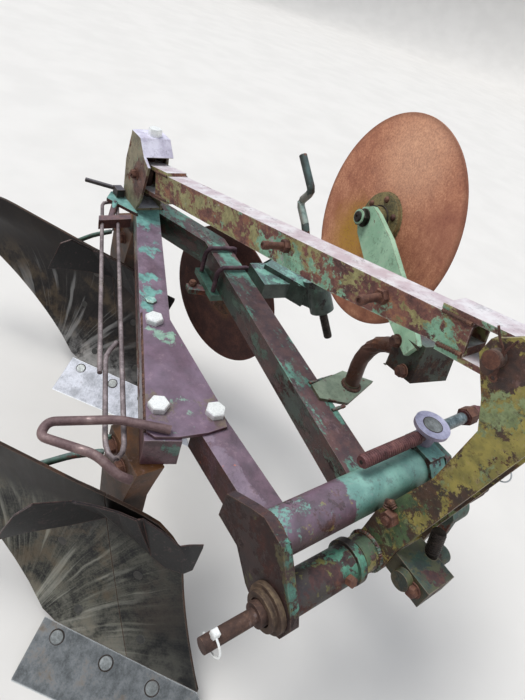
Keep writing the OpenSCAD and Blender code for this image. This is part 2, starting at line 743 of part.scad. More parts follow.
module front_arm() {
    color("#8fc0a4") on_disc(front_disc_at, front_disc_yaw, front_disc_tilt) union() {
        arm_end(-1);
        translate([0, 0, -54]) linear_extrude(14) polygon([[-24, 10], [-22, -16], [8, -34], [34, -30],
            [107, -10], [200, 32], [296, 84], [326, 104], [312, 142], [286, 136], [228, 119], [79, 75],
                [2, 38]]);
    }
}

stem_at = [-330, 118, frame_top + plate];
stem_top = [-178, 140, 872];
clamp_at = [-226, 108, 898];
module stem_bar(d) {
    bent_bar([stem_at, stem_at + [-13, 2, 82], stem_at + [2, 12, 140], stem_at + [48, 20, 166],
        stem_top], d, 24);
}
module front_stem() {
    color("#8a5a38") union() {
        flat_plate([[-380, 132], [-322, 191], [-284, 68], [-322, 8], [-366, 16]], frame_top + gap, plate);
        stem_bar(stem_d);
    }
}
module front_clamp() {
    color("#4c4a3c") difference() {
        translate(clamp_at) rotate([0, -14, -12.7]) translate([-42, -38, -62]) cube([84, 106, 84]);
        on_disc(front_disc_at, front_disc_yaw, front_disc_tilt) translate([150, 20,
            -54 - gap]) cube([300, 180, 14 + 2 * gap]);
        stem_bar(stem_d + 2 * gap);
    }
}

spindle_top = [-727, 200, 854];
spindle_low = [-590, 300, 579];
spindle_d = 22;
module crank() {
    color("#8ab0a8") bent_bar([[-841, 200, 1036], [-763, 200, 970], [-794, 200, 924], [-744, 200, 880],
        spindle_top,
        spindle_low], spindle_d, 14);
}
diag_yaw = heading(bend, diag_foot);
function on_diag(x, b) = [
    x - b * sin(diag_yaw),
    bend[1] + (x - bend[0]) * tan(diag_yaw) + b * cos(diag_yaw)];
casting_b = tube / 2 + gap;
casting_low = 656;
u_bolt_d = 14;
arm_top = [150, -170];
boss_top = [-675, 238, 749];
boss_low = [-630, 271, 658];
module rear_casting() {
    color("#3f6a58") union() {
        difference() {
            union() {
                translate(concat(on_diag(-840, casting_b), casting_low)) rotate([0, 0,
                    diag_yaw]) cube([110, 100, 50]);
                translate([-800, 150, casting_low]) rotate([0, 0, 24]) cube([150, 66, 66]);
                rod(boss_top, boss_low, 72);
                translate([-690, 196, casting_low + 6]) rotate([0, 0, 36]) cube([60, 40, 56]);
            }
            bent_bar([spindle_top + [-13.7, -10, 27.5], spindle_low], spindle_d + 2 * gap);
        }
        on_disc(rear_disc_at, rear_disc_yaw, 0) translate([arm_top[0], arm_top[1] - 26,
            7]) cylinder(h = 33 - gap, d = 44);
    }
}
u_half = tube / 2 + gap + u_bolt_d / 2;
u_slack = 9;
u_top = frame_top + gap + u_bolt_d / 2 + 3;
module rear_clamp() {
    low = under - gap - 12;
    color("#5a3e3c") union() {
        for (x = [-958, -852])
            bent_bar([concat(on_diag(x, -u_half - u_slack), low), concat(on_diag(x, -u_half - u_slack),
                u_top - 16),
                concat(on_diag(x, 14 - u_half - u_slack), u_top), concat(on_diag(x, u_half), u_top),
                concat(on_diag(x, u_half), low)], u_bolt_d, 7);
        translate(concat(on_diag(-980, -66), low - 8)) rotate([0, 0, diag_yaw]) cube([150, 122, 20]);
    }
}
module rear_arm() {
    color("#4f7c6c") on_disc(rear_disc_at, rear_disc_yaw, 0) union() {
        arm_end(1);
        translate([0, 0, 40]) linear_extrude(14) polygon([[-30, -24], [-8, 32], [34, 18],
            [188, -160], [176, -222], [124, -222]]);
    }
}

module home() {
    translate(home_shift) children();
}

home() main_beam();
home() gusset_plate();
home() front_beam();
home() bearing_plate();
home() cross_tube();
home() diagonal_beam();
home() cross_shaft();
home() shaft_sleeve();
home() right_bearing();
home() left_bearing();
home() mast_right();
home() mast_left();
home() mast_spacer();
home() swivel_block();
home() brace_pins();
home() top_brace();
home() rear_bracket();
home() width_screw();
home() screw_trunnion();
home() trunnion_bracket();
home() level_screw();
home() level_bracket();
home() rod_loop();
home() hand_loop();
home() loop_bracket();
home() front_leg();
home() front_frog();
home() front_share();
home() front_mouldboard();
home() front_shin();
home() front_trash_board();
home() front_landside();
home() front_stay();
home() rear_leg();
home() rear_frog();
home() rear_share();
home() rear_mouldboard();
home() rear_shin();
home() rear_trash_board();
home() rear_landside();
home() rear_stay();
home() front_disc();
home() front_arm();
home() front_stem();
home() front_clamp();
home() rear_disc();
home() rear_arm();
home() rear_casting();
home() rear_clamp();
home() crank();
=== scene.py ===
"""Looks of a weathered two-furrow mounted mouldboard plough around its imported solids."""
import math
import random

import bmesh
import bpy
from mathutils import Matrix, Vector


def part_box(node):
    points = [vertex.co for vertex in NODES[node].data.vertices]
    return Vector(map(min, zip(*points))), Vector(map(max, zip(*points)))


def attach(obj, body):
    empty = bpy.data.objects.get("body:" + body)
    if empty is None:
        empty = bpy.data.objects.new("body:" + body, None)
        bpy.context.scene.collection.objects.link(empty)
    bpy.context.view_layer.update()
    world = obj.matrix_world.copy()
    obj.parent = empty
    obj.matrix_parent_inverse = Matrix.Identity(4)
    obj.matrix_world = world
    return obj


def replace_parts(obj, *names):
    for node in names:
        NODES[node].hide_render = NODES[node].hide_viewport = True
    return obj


bl_info = {
    "name": "Mounted Mouldboard Plough",
    "version": (1, 0, 0),
    "blender": (4, 5, 0),
    "location": "View3D > Sidebar > Plough",
    "description": "Finishes, fasteners, threads and welds for a mounted mouldboard plough",
    "category": "Object",
}

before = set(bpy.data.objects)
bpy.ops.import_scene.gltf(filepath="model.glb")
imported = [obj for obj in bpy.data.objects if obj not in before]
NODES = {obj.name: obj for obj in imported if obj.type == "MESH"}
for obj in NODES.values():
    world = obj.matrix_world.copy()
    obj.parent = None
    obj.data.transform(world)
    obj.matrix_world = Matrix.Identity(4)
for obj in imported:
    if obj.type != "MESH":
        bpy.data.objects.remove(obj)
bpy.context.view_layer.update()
MM = 0.001
UP, DOWN = Vector((0, 0, 1)), Vector((0, 0, -1))
LEFT, RIGHT = Vector((0, 1, 0)), Vector((0, -1, 0))
AHEAD = Vector((1, 0, 0))
# The cross shaft's right end is this far to the right of the working datum, in metres
SHAFT_RIGHT_END = 0.4635


def working_datum():
    """The point on the ground below the cross shaft that places are measured from, in the row frame."""
    low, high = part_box("cross_shaft")
    return Vector(((low.x + high.x) / 2, low.y + SHAFT_RIGHT_END, 0))


DATUM = working_datum()


def at(x, y, z):
    """A point given in millimetres from the working datum, in metres in the row frame."""
    return DATUM + Vector((x, y, z)) * MM


# Colours and shaders

# DUST_AND_SKY_SHEEN is pale dust tinted cool, in part a painted reflection of the sky on faces that look up;
# SIDE_SHADE is the tone of painted shade on faces that don't look up
GRIME, CHALK, DUST_AND_SKY_SHEEN, SIDE_SHADE = "#33241f", "#c0a2a6", "#b9b9d2", "#9c6a5e"
BROWN_RUST = ("#3a2320", "#6b3c28", "#a5623a")
ORANGE_RUST = ("#43281d", "#7d4526", "#b5672f")
DARK_RUST = ("#2c1d1b", "#4b2d27", "#7a4a34")
DARK_TONES = {"mauve": "#523a45", "turquoise": "#4b857b", "green": "#314f43"}


def linear(tone):
    """A linear colour with alpha, from a written sRGB colour or one of the settings' colours."""
    if not isinstance(tone, str):
        return tuple(tone)
    parts = [int(tone[i:i + 2], 16) / 255 for i in (1, 3, 5)]
    return tuple(c / 12.92 if c <= 0.04045 else ((c + 0.055) / 1.055) ** 2.4 for c in parts) + (1.0,)


class Socket:
    """One output of a shader node, which takes part in sums written in Python."""

    def __init__(self, net, link):
        self.net = net
        self.link = link

    def _math(self, operation, a, b):
        kinds = [s.link.type for s in (a, b) if isinstance(s, Socket)]
        if any(k in ("VECTOR", "RGBA") for k in kinds):
            a, b = [s if isinstance(s, (Socket, tuple)) else (s, s, s) for s in (a, b)]
            return self.net.node("ShaderNodeVectorMath", {"operation": operation}, {0: a, 1: b})
        return self.net.node("ShaderNodeMath", {"operation": operation}, {0: a, 1: b})

    def __add__(self, other):
        return self._math("ADD", self, other)

    __radd__ = __add__

    def __sub__(self, other):
        return self._math("SUBTRACT", self, other)

    def __rsub__(self, other):
        return self._math("SUBTRACT", other, self)

    def __mul__(self, other):
        return self._math("MULTIPLY", self, other)

    __rmul__ = __mul__

    def high(self, other):
        return self._math("MAXIMUM", self, other)

    def clamp(self):
        return self.net.node("ShaderNodeClamp", {}, {0: self})

    def steps(self, low, high):
        """Rises smoothly from 0 at low to 1 at high."""
        return self.net.node("ShaderNodeMapRange", {"interpolation_type": "SMOOTHSTEP"},
                             {0: self, 1: low, 2: high, 3: 0.0, 4: 1.0})


class Net:
    """The node tree of one material."""

    def __init__(self, name):
        self.material = bpy.data.materials.new(name)
        self.material.use_nodes = True
        self.tree = self.material.node_tree
        self.tree.nodes.clear()
        self.places = self.node("ShaderNodeTexCoord", {}, {}, "Object")
        self.normal = self.node("ShaderNodeNewGeometry", {}, {}, "Normal")

    def node(self, kind, settings, inputs, output=0):
        made = self.tree.nodes.new(kind)
        for key, value in settings.items():
            if key == "stops":
                ramp = made.color_ramp
                while len(ramp.elements) < len(value):
                    ramp.elements.new(0.5)
                for element, (place, colour) in zip(ramp.elements, value):
                    element.position, element.color = place, colour
            else:
                setattr(made, key, value)
        for key, value in inputs.items():
            if isinstance(value, Socket):
                self.tree.links.new(value.link, made.inputs[key])
            else:
                made.inputs[key].default_value = value
        return Socket(self, made.outputs[output]) if made.outputs else None

    def mix(self, fac, a, b):
        return self.node("ShaderNodeMix", {"data_type": "RGBA"}, {0: fac, 6: a, 7: b}, 2)

    def between(self, fac, first, second):
        """A colour between two written ones."""
        return self.mix(fac, linear(first), linear(second))

    def over(self, fac, colour, tone):
        """Covers a colour with a written one."""
        return self.mix(fac, colour, linear(tone))

    def ramp(self, fac, tones, places=(0.38, 0.5, 0.62)):
        stops = [(place, linear(tone)) for place, tone in zip(places, tones)]
        return self.node("ShaderNodeValToRGB", {"stops": stops}, {0: fac})

    def shade(self, colour, lift, amount):
        """Painted shade: faces that don't look up are darkened and browned, standing in for the shade on
        them.
        """
        turned = (1.0 - lift.steps(0.15, 0.9)) * amount
        return self.node("ShaderNodeMix", {"data_type": "RGBA", "blend_type": "MULTIPLY"},
                         {0: turned, 6: colour, 7: linear(SIDE_SHADE)}, 2)

    def noise(self, scale, detail, rough, seed, stretch=(1, 1, 1), warp=0.0, base=None):
        place = (base or self.places) * tuple(stretch) + (seed, seed * 0.37, -seed * 0.61)
        return self.node("ShaderNodeTexNoise", {}, {"Vector": place, "Scale": scale, "Detail": detail,
                                                    "Roughness": rough, "Distortion": warp})

    def axis(self, source, index):
        return self.node("ShaderNodeSeparateXYZ", {}, {0: source}, index)

    def vector(self, x, y, z=0.0):
        return self.node("ShaderNodeCombineXYZ", {}, {0: x, 1: y, 2: z})

    def dot(self, a, b):
        return self.node("ShaderNodeVectorMath", {"operation": "DOT_PRODUCT"}, {0: a, 1: b}, 1)

    def length(self, a):
        return self.node("ShaderNodeVectorMath", {"operation": "LENGTH"}, {0: a}, 1)

    def edges(self, radius, strength):
        """1 on the outer edges of a solid and 0 on its faces."""
        soft = self.node("ShaderNodeBevel", {"samples": 4}, {"Radius": radius})
        return ((1.0 - self.dot(soft, self.normal)) * strength).clamp()

    def finish(self, colour, rough, metal, height, bump, distance=0.002, settings=None):
        """Closes the material. bump is the relief's strength and distance its depth in metres."""
        bumped = self.node("ShaderNodeBump", {}, {"Strength": bump, "Distance": distance, "Height": height})
        inputs = {"Base Color": colour, "Roughness": rough, "Metallic": metal, "Normal": bumped}
        inputs.update(settings or {})
        shader = self.node("ShaderNodeBsdfPrincipled", {}, inputs)
        self.node("ShaderNodeOutputMaterial", {}, {0: shader})
        return self.material


def spot(x, y, z, radius, amount):
    """A zone round a point where a coat is thicker, or thinner below 0, in millimetres from the datum."""
    def zone(net):
        reach = net.length(net.places - tuple(at(x, y, z)))
        return (1.0 - reach.steps(radius * MM * 0.25, radius * MM * 1.15)) * amount
    return zone


def along(origin, way, start, end, amount):
    """A zone that sets in from start to end, in millimetres from the origin along a direction."""
    def zone(net):
        run = net.dot(net.places - tuple(at(*origin)), Vector(way).normalized().to_tuple())
        return run.steps(start * MM, end * MM) * amount
    return zone


def coat(tones, share, patches, up=0.0, *zones):
    """Paint in two tones: the share it covers, its patches per metre, and how much more faces that look up
    keep of it."""
    return tones, share, patches, up, zones


def painted(name, coats, seed, rust=BROWN_RUST, edge="#b9a48c", edge_share=0.55, dust_and_top_sheen=0.12, chips=0.5,
            gloss=0.55, streak=(1, 1, 1), bump=0.4, flecks=None, shade=0.75):
    """Old paint over rust; flecks holds the share, the tone and the number per metre of bright flecks."""
    net = Net(name)
    lift = net.axis(net.normal, 2)
    fine = net.noise(160, 6, 0.7, seed)
    mid = net.noise(42, 6, 0.65, seed + 3, streak)
    wide = net.noise(11, 4, 0.6, seed + 7, streak)
    grain = mid * 0.55 + fine * 0.45
    colour = net.ramp(grain * 0.7 + wide * 0.3, rust, (0.4, 0.5, 0.61))
    height = fine * 0.5 + mid * 0.5
    covered = None
    for number, (tones, share, patches, up, zones) in enumerate(coats):
        patch = net.noise(patches, 9, 0.68, seed + 13 * (number + 1), streak, 0.25)
        speckle = (mid - 0.5) * 0.3 + (fine - 0.5) * 0.6 * chips
        cover = patch + lift * up + speckle + sum((zone(net) for zone in zones), 0.0)
        # A share of one half puts the coat's edge at the middle of the noise
        level = 0.5 + 0.42 * (0.5 - share)
        mask = cover.steps(level - 0.03, level + 0.03)
        tone = net.between(net.noise(patches * 2.3, 5, 0.6, seed + 31 + number).steps(0.35, 0.65), *tones)
        tone = net.over(grain.steps(0.52, 0.62) * 0.4, tone, GRIME)
        tone = net.over(grain.steps(0.46, 0.38) * 0.14, tone, CHALK)
        colour = net.mix(mask, colour, tone)
        covered = mask if covered is None else covered.high(mask)
        height = height + mask * 0.5
    # Bare metal on the edges, in a pale tone that also stands in for painted highlights along them
    worn_and_lit_edges = (net.edges(0.0035, 5.0) * (mid + fine * 0.6).steps(0.62, 0.92)).clamp()
    colour = net.over(worn_and_lit_edges * edge_share, colour, edge)
    if flecks:
        share, tone, number = flecks
        fleck = net.noise(number, 8, 0.75, seed + 91).steps(0.66 - share * 0.1, 0.7 - share * 0.1)
        colour = net.over(fleck, colour, tone)
    # Pale dust, tinted cool as a painted sky sheen, settles on faces that look up; then painted shade darkens
    # the faces that don't
    settled_dust_and_sheen = lift.steps(0.35, 0.95) * dust_and_top_sheen * (wide.steps(0.3, 0.7) * 0.6 + 0.6)
    colour = net.shade(net.over(settled_dust_and_sheen, colour, DUST_AND_SKY_SHEEN), lift, shade)
    bare_rough = 0.86
    rough = bare_rough - covered * (bare_rough - gloss) + (fine - 0.5) * 0.2
    return net.finish(colour, rough.clamp(), worn_and_lit_edges * 0.3, height, bump)


def weathered(name, coats, seed, dust_and_top_sheen=1.0, **more):
    """Paint whose bare edges, also painted edge highlights, and dust, tinted as a painted sky sheen, follow
    the settings; dust_and_top_sheen is a share of the amount set there.
    """
    return painted(name, coats, seed, edge_share=look().edge_wear_and_highlight, dust_and_top_sheen=look().dust_and_top_sheen * dust_and_top_sheen, **more)


def rusted(name, tones, seed, size=30, rough=0.72, metal=0.25, polish=None, stretch=(1, 1, 1), bump=0.5):
    """Bare steel under rust; polish holds the tone and the share of places rubbed bright."""
    net = Net(name)
    fine = net.noise(size * 6, 7, 0.72, seed)
    mid = net.noise(size, 7, 0.66, seed + 5, stretch, 0.2)
    wide = net.noise(size * 0.25, 4, 0.6, seed + 9, stretch)
    colour = net.ramp(mid * 0.45 + fine * 0.25 + wide * 0.3, tones)
    roughness = (fine - 0.5) * 0.25 + rough
    if polish:
        tone, share = polish
        shine = (mid * 0.5 + wide * 0.5).steps(0.62 - share * 0.3, 0.70 - share * 0.3)
        colour = net.over(shine, colour, tone)
        roughness = roughness - shine * 0.3
        metal = shine * 0.5 + metal
    edge = net.edges(0.003, 4.0) * fine.steps(0.4, 0.7)
    colour = net.over(edge * 0.45, colour, "#a08878")
    # Painted shade on the faces that don't look up
    colour = net.shade(colour, net.axis(net.normal, 2), 0.5)
    return net.finish(colour, roughness.clamp(), metal, fine * 0.6 + mid * 0.6, bump)


def zinc(name, seed, tone, soil):
    """Plated fasteners, dulled by weather."""
    net = Net(name)
    fine = net.noise(300, 5, 0.7, seed)
    mid = net.noise(70, 5, 0.6, seed + 2)
    colour = net.between(fine.steps(0.4, 0.8) * 0.5, tone, "#9aa09d")
    colour = net.over(mid.steps(0.74 - soil * 0.3, 0.82) * soil * 2.0, colour, "#7a5236")
    return net.finish(colour, mid * 0.2 + 0.3, 0.35, fine, 0.12, 0.001)


def scoured_board(name, point, base, dark, pale, brown, seed, foot):
    """Mouldboard steel: dark and smooth, with pale streaks fanning up from the share, and brown tints."""
    net = Net(name)
    place = net.places - tuple(point)
    x, y, z = [net.axis(place, i) for i in range(3)]
    share_turn, corner = 0.65, 0.63
    run = x * -math.cos(share_turn) + y * -math.sin(share_turn)
    # The streaks fan out from the share's rear corner
    rise, ahead = z + 0.02, corner - run
    turned = net.node("ShaderNodeMath", {"operation": "ARCTAN2"}, {0: rise, 1: ahead})
    reach = net.node("ShaderNodeMath", {"operation": "SQRT"}, {0: rise * rise + ahead * ahead})
    wide = net.noise(7, 5, 0.6, seed + 6)
    fine = net.noise(220, 6, 0.7, seed + 2)
    cloud = net.noise(16, 7, 0.7, seed + 11)
    turned = turned + (wide - 0.5) * 0.06
    streak = net.noise(1.0, 7, 0.7, seed, base=net.vector(reach * 2.5, turned * 30.0))
    broad = net.noise(1.0, 3, 0.5, seed + 4, base=net.vector(reach * 4.0, turned * 11.0))
    colour = net.between((streak * 0.35 + fine * 0.25 + cloud * 0.4).steps(0.4, 0.6), dark, base)
    colour = net.over((wide * 0.5 + cloud * 0.5).steps(0.48, 0.6) * 0.6, colour, brown)
    colour = net.over((1.0 - (run + (cloud - 0.5) * 0.1).steps(0.16, 0.5)) * 0.85, colour, dark)
    strokes = broad.steps(0.52, 0.66) * run.steps(0.28, 0.42) * (1.0 - reach.steps(0.3, 0.42))
    colour = net.over(strokes * (streak * 0.5 + 0.08), colour, pale)
    colour = net.over(streak.steps(0.58, 0.7) * run.steps(0.05, 0.5) * 0.2, colour, pale)
    colour = net.over((1 - z.steps(0.03, 0.17)) * foot * cloud.steps(0.35, 0.6), colour, pale)
    # Painted shade: a dark band along the board's top, under the trash board
    colour = net.over((z + (cloud - 0.5) * 0.06).steps(0.31, 0.40) * 0.9, colour, "#1f1a19")
    # The back of the board isn't scoured by the soil
    back = net.axis(net.normal, 1).steps(-0.1, 0.25)
    colour = net.mix(back * 0.92, colour, net.between(cloud.steps(0.4, 0.6), "#2a201c", "#543a2b"))
    colour = net.over(net.edges(0.004, 4.0) * 0.5, colour, "#8e7a6e")
    rough = (streak - 0.5) * 0.3 + cloud * 0.16 + 0.34 + back * 0.3
    return net.finish(colour, rough.clamp(), 0.08, streak * 0.7 + fine * 0.3, 0.2, 0.0015,
                      {"Specular IOR Level": 0.2})


def bright_share(name, point, seed, tone, dark):
    """Share steel scoured bright, clouded grey, with brown stains and fine scratches."""
    net = Net(name)
    place = net.places - tuple(point)
    x, y = net.axis(place, 0), net.axis(place, 1)
    share_turn = 0.7
    run = x * -math.cos(share_turn) + y * -math.sin(share_turn)
    side = x * -math.sin(share_turn) + y * math.cos(share_turn)
    scratch = net.noise(1.0, 9, 0.8, seed, base=net.vector(run * 26.0, side * 13.0 + run * 6.0))
    cloud = net.noise(22, 7, 0.7, seed + 3)
    wide = net.noise(9, 5, 0.6, seed + 7)
    fine = net.noise(200, 6, 0.7, seed + 5)
    colour = net.between((scratch * 0.35 + cloud * 0.45 + fine * 0.2).steps(0.38, 0.62), dark, tone)
    stain = (cloud * 0.6 + wide * 0.25 + fine * 0.15).steps(0.53, 0.64)
    colour = net.over(stain * 0.6, colour, "#776858")
    colour = net.over((wide * 0.5 + cloud * 0.5).steps(0.6, 0.68) * 0.5, colour, "#4f4a41")
    colour = net.over(net.edges(0.004, 4.0) * 0.7, colour, "#e4e8e8")
    rough = scratch * 0.2 + stain * 0.3 + 0.36
    return net.finish(colour, rough.clamp(), 0.3, scratch * 0.5 + cloud * 0.5, 0.25, 0.001)


def disc_finish(name, disc, tones, tints_and_painted_light, hub, seed, metal=0.2):
    """A coulter blade: speckled rust, ring marks round the hub, and spots of rust tint, painted highlight and
    painted shadow.
    Each entry of tints_and_painted_light is (tone, place from the centre, radius, share); hub holds the
    flange's two tones."""
    net = Net(name)
    place = net.places - tuple(disc.translation)
    reach = net.length(place)
    fine = net.noise(230, 7, 0.75, seed)
    mid = net.noise(24, 6, 0.65, seed + 3)
    wide = net.noise(5, 4, 0.6, seed + 6)
    rings = net.vector(reach * 70.0, wide * 2.0, net.dot(place, tuple(disc.col[2].to_3d())))
    ring = net.noise(1.0, 6, 0.7, seed + 9, base=rings)
    colour = net.ramp(fine * 0.45 + mid * 0.27 + ring * 0.1 + wide * 0.18, tones)
    # Spots of rust tint, painted highlight and painted shadow laid over the blade
    for tone, offset, radius, share in tints_and_painted_light:
        cloud = 1.0 - (net.length(place - offset) + (mid - 0.5) * 0.08).steps(radius * 0.15, radius)
        colour = net.over(cloud * (fine.steps(0.3, 0.7) * 0.7 + 0.4).clamp() * share, colour, tone)
    flange = net.between((mid * 0.5 + fine * 0.5).steps(0.4, 0.6), *hub)
    flange_rim, blade_rim = (0.0665, 0.069), (0.225, 0.24)
    colour = net.mix(1.0 - (reach + (fine - 0.5) * 0.004).steps(*flange_rim), colour, flange)
    colour = net.over(reach.steps(*blade_rim) * 0.5, colour, "#5b2f22")
    return net.finish(colour, 0.68 + (fine - 0.5) * 0.3, metal, fine * 0.7 + mid * 0.3, 0.45, 0.0012)


# Mesh helpers

SMOOTH_BELOW = math.radians(34)


def ring_faces(rows, sides):
    """Faces that join rows of rings, and one across the first ring."""
    pairs = [(i * sides + k, i * sides + (k + 1) % sides) for i in range(rows - 1) for k in range(sides)]
    return [(a, b, b + sides, a + sides) for a, b in pairs] + [tuple(reversed(range(sides)))]


class Piece:
    """Collects parts of one visible piece and hands it over to its body."""

    def __init__(self, name, finish, slot="rusty_steel", body="frame"):
        self.name, self.finish, self.slot, self.body = name, metals()[finish], slot, body
        self.verts, self.faces = [], []

    def skin(self, verts, sides):
        """Adds rings of points, joined and closed at both ends."""
        base = len(self.verts)
        faces = ring_faces(len(verts) // sides, sides) + [tuple(range(len(verts) - sides, len(verts)))]
        self.verts += [tuple(v) for v in verts]
        self.faces += [tuple(i + base for i in f) for f in faces]

    def lathe(self, place, axis, profile, sides, turn=0.0):
        """Revolves (radius, distance along axis) pairs; the ends are closed."""
        z = Vector(axis).normalized()
        x = z.orthogonal().normalized()
        if abs(z.z) < 0.9:
            x = UP.cross(z).normalized()
        y = z.cross(x)
        verts = []
        for r, h in profile:
            for k in range(sides):
                a = 2 * math.pi * k / sides + turn
                verts.append(place + z * h + (x * math.cos(a) + y * math.sin(a)) * r)
        self.skin(verts, sides)

    def hexagon(self, place, axis, flats, height, turn, washer=0.0, stud=0.0, round_top=False):
        """A hexagon head or nut with its washer below it and the stud's end above it."""
        r = flats / math.sqrt(3)
        z = Vector(axis).normalized()
        if washer:
            w = washer
            self.lathe(place, z, [(w * 0.97, 0.0), (w, 0.0005), (w, 0.0022), (w * 0.96, 0.0028)], 28)
            place = place + z * 0.0026
        self.lathe(place, z, [(r * 0.98, 0), (r, 0.0006), (r, height * 0.84), (r * 0.9, height)], 6, turn)
        if stud:
            s = flats * 0.28
            self.lathe(place + z * (height - 0.001), z, [(s, 0), (s, stud * 0.8), (s * 0.8, stud)], 18)
        elif round_top:
            s = r * 0.7
            self.lathe(place + z * (height - 0.0004), z, [(s, 0), (s * 0.94, 0.0009)], 24)

    def dome(self, place, axis, radius, height):
        """A round bolt or rivet head."""
        steps, sides = 5, 20
        profile = [(radius, -0.001)]
        for i in range(steps):
            a = math.pi / 2 * i / steps
            profile.append((radius * math.cos(a), height * math.sin(a)))
        profile.append((radius * 0.12, height))
        self.lathe(place, axis, profile, sides)

    def tube(self, points, radius, sides, wobble=0.0, seed=1):
        """Sweeps a round section along points; wobble makes the ripples of a weld bead."""
        rng, pitch = random.Random(seed), 0.0052
        last = len(points) - 1
        verts = []
        x = (points[1] - points[0]).normalized().orthogonal().normalized()
        run = 0.0
        for i, p in enumerate(points):
            t = (points[min(last, i + 1)] - points[max(0, i - 1)]).normalized()
            x = (x - t * x.dot(t)).normalized()
            y = t.cross(x)
            if i:
                run += (p - points[i - 1]).length
            r = radius
            if wobble:
                ripple = abs(math.sin(run / pitch * math.pi)) - 0.5
                r *= 1 + wobble * ripple + wobble * rng.uniform(-0.35, 0.35)
            for k in range(sides):
                a = 2 * math.pi * k / sides
                verts.append(p + x * math.cos(a) * r + y * math.sin(a) * r)
        self.skin(verts, sides)

    def bead(self, points, radius, seed):
        """A weld bead along a line."""
        self.tube(spread(points, 0.0012), radius, 9, 0.32, seed)

    def thread(self, start, end, core, pitch, depth):
        """A helical thread on a rod from start to end."""
        sides, run_in = 20, 0.6
        axis = (end - start).normalized()
        length = (end - start).length
        x = axis.orthogonal().normalized()
        y = axis.cross(x)
        rows = max(8, int(length / pitch * 6))
        verts = []
        for i in range(rows + 1):
            h = length * i / rows
            fade = min(1.0, h / (pitch * run_in), (length - h) / (pitch * run_in))
            for k in range(sides):
                phase = (h / pitch - k / sides) % 1.0
                crest = 1 - abs(2 * phase - 1)
                r = core + depth * min(1.0, crest * 1.6) * max(0.0, fade)
                a = 2 * math.pi * k / sides
                verts.append(start + axis * h + (x * math.cos(a) + y * math.sin(a)) * r)
        self.skin(verts, sides)

    def slab(self, outline, axis, thick, bevel):
        """A plate from outline points, thick along axis, with its rim rounded a little."""
        z = Vector(axis).normalized()
        centre = sum(outline, Vector()) / len(outline)
        verts = []
        for h, inset in ((0, bevel), (bevel, 0), (thick - bevel, 0), (thick, bevel)):
            verts += [p + z * h + (centre - p).normalized() * inset for p in outline]
        self.skin(verts, len(outline))

    def done(self):
        mesh = bpy.data.meshes.new(self.name)
        mesh.from_pydata(self.verts, [], self.faces)
        shape = bmesh.new()
        shape.from_mesh(mesh)
        bmesh.ops.recalc_face_normals(shape, faces=shape.faces)
        for edge in shape.edges:
            edge.smooth = len(edge.link_faces) == 2 and edge.calc_face_angle(0) < SMOOTH_BELOW
        for face in shape.faces:
            face.smooth = True
        shape.to_mesh(mesh)
        shape.free()
        mesh.materials.append(self.finish)
        made = bpy.data.objects.new(self.name, mesh)
        bpy.context.scene.collection.objects.link(made)
        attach(made, self.body)
        return made


def spread(points, step):
    """The same line with points no further apart than step."""
    out = [points[0]]
    for a, b in zip(points, points[1:]):
        n = max(1, int((b - a).length / step))
        out += [a.lerp(b, (i + 1) / n) for i in range(n)]
    return out


def rounded(points, radius, steps=6):
    """A route whose corners are turned on a smooth curve."""
    out = [points[0]]
    for a, p, b in zip(points, points[1:], points[2:]):
        r = min(radius, (a - p).length * 0.48, (b - p).length * 0.48)
        u, v = p + (a - p).normalized() * r, p + (b - p).normalized() * r
        for i in range(steps + 1):
            t = i / steps
            out.append(u.lerp(p, t).lerp(p.lerp(v, t), t))
    out.append(points[-1])
    return out


def circle(centre, axis, radius, steps=48, start=0.0, sweep=1.0):
    """Points on a circle about an axis."""
    z = Vector(axis).normalized()
    x = UP.cross(z).normalized() if abs(z.z) < 0.9 else AHEAD
    y = z.cross(x)
    return [centre + (x * math.cos(a) + y * math.sin(a)) * radius
            for a in [2 * math.pi * (start + sweep * k / steps) for k in range(steps + 1)]]


def soften(node, width=0.0012, smooth=26):
    """Welds a CAD node's seams for shading, smooths it up to an angle and rounds its sharp edges."""
    shape = NODES[node]
    for layer in [a for a in shape.data.attributes if a.name == "custom_normal"]:
        shape.data.attributes.remove(layer)
    title = "Weld and smooth %d" % smooth
    weld = shape.modifiers.new("Weld and smooth", "NODES")
    weld.node_group = bpy.data.node_groups.get(title) or weld_tree(title, smooth)
    if width:
        edge = shape.modifiers.new("Rounded edges", "BEVEL")
        edge.width, edge.segments, edge.limit_method = width, 2, "ANGLE"
        edge.angle_limit = math.radians(smooth + 4)
        edge.harden_normals = True
        edge.use_clamp_overlap = True


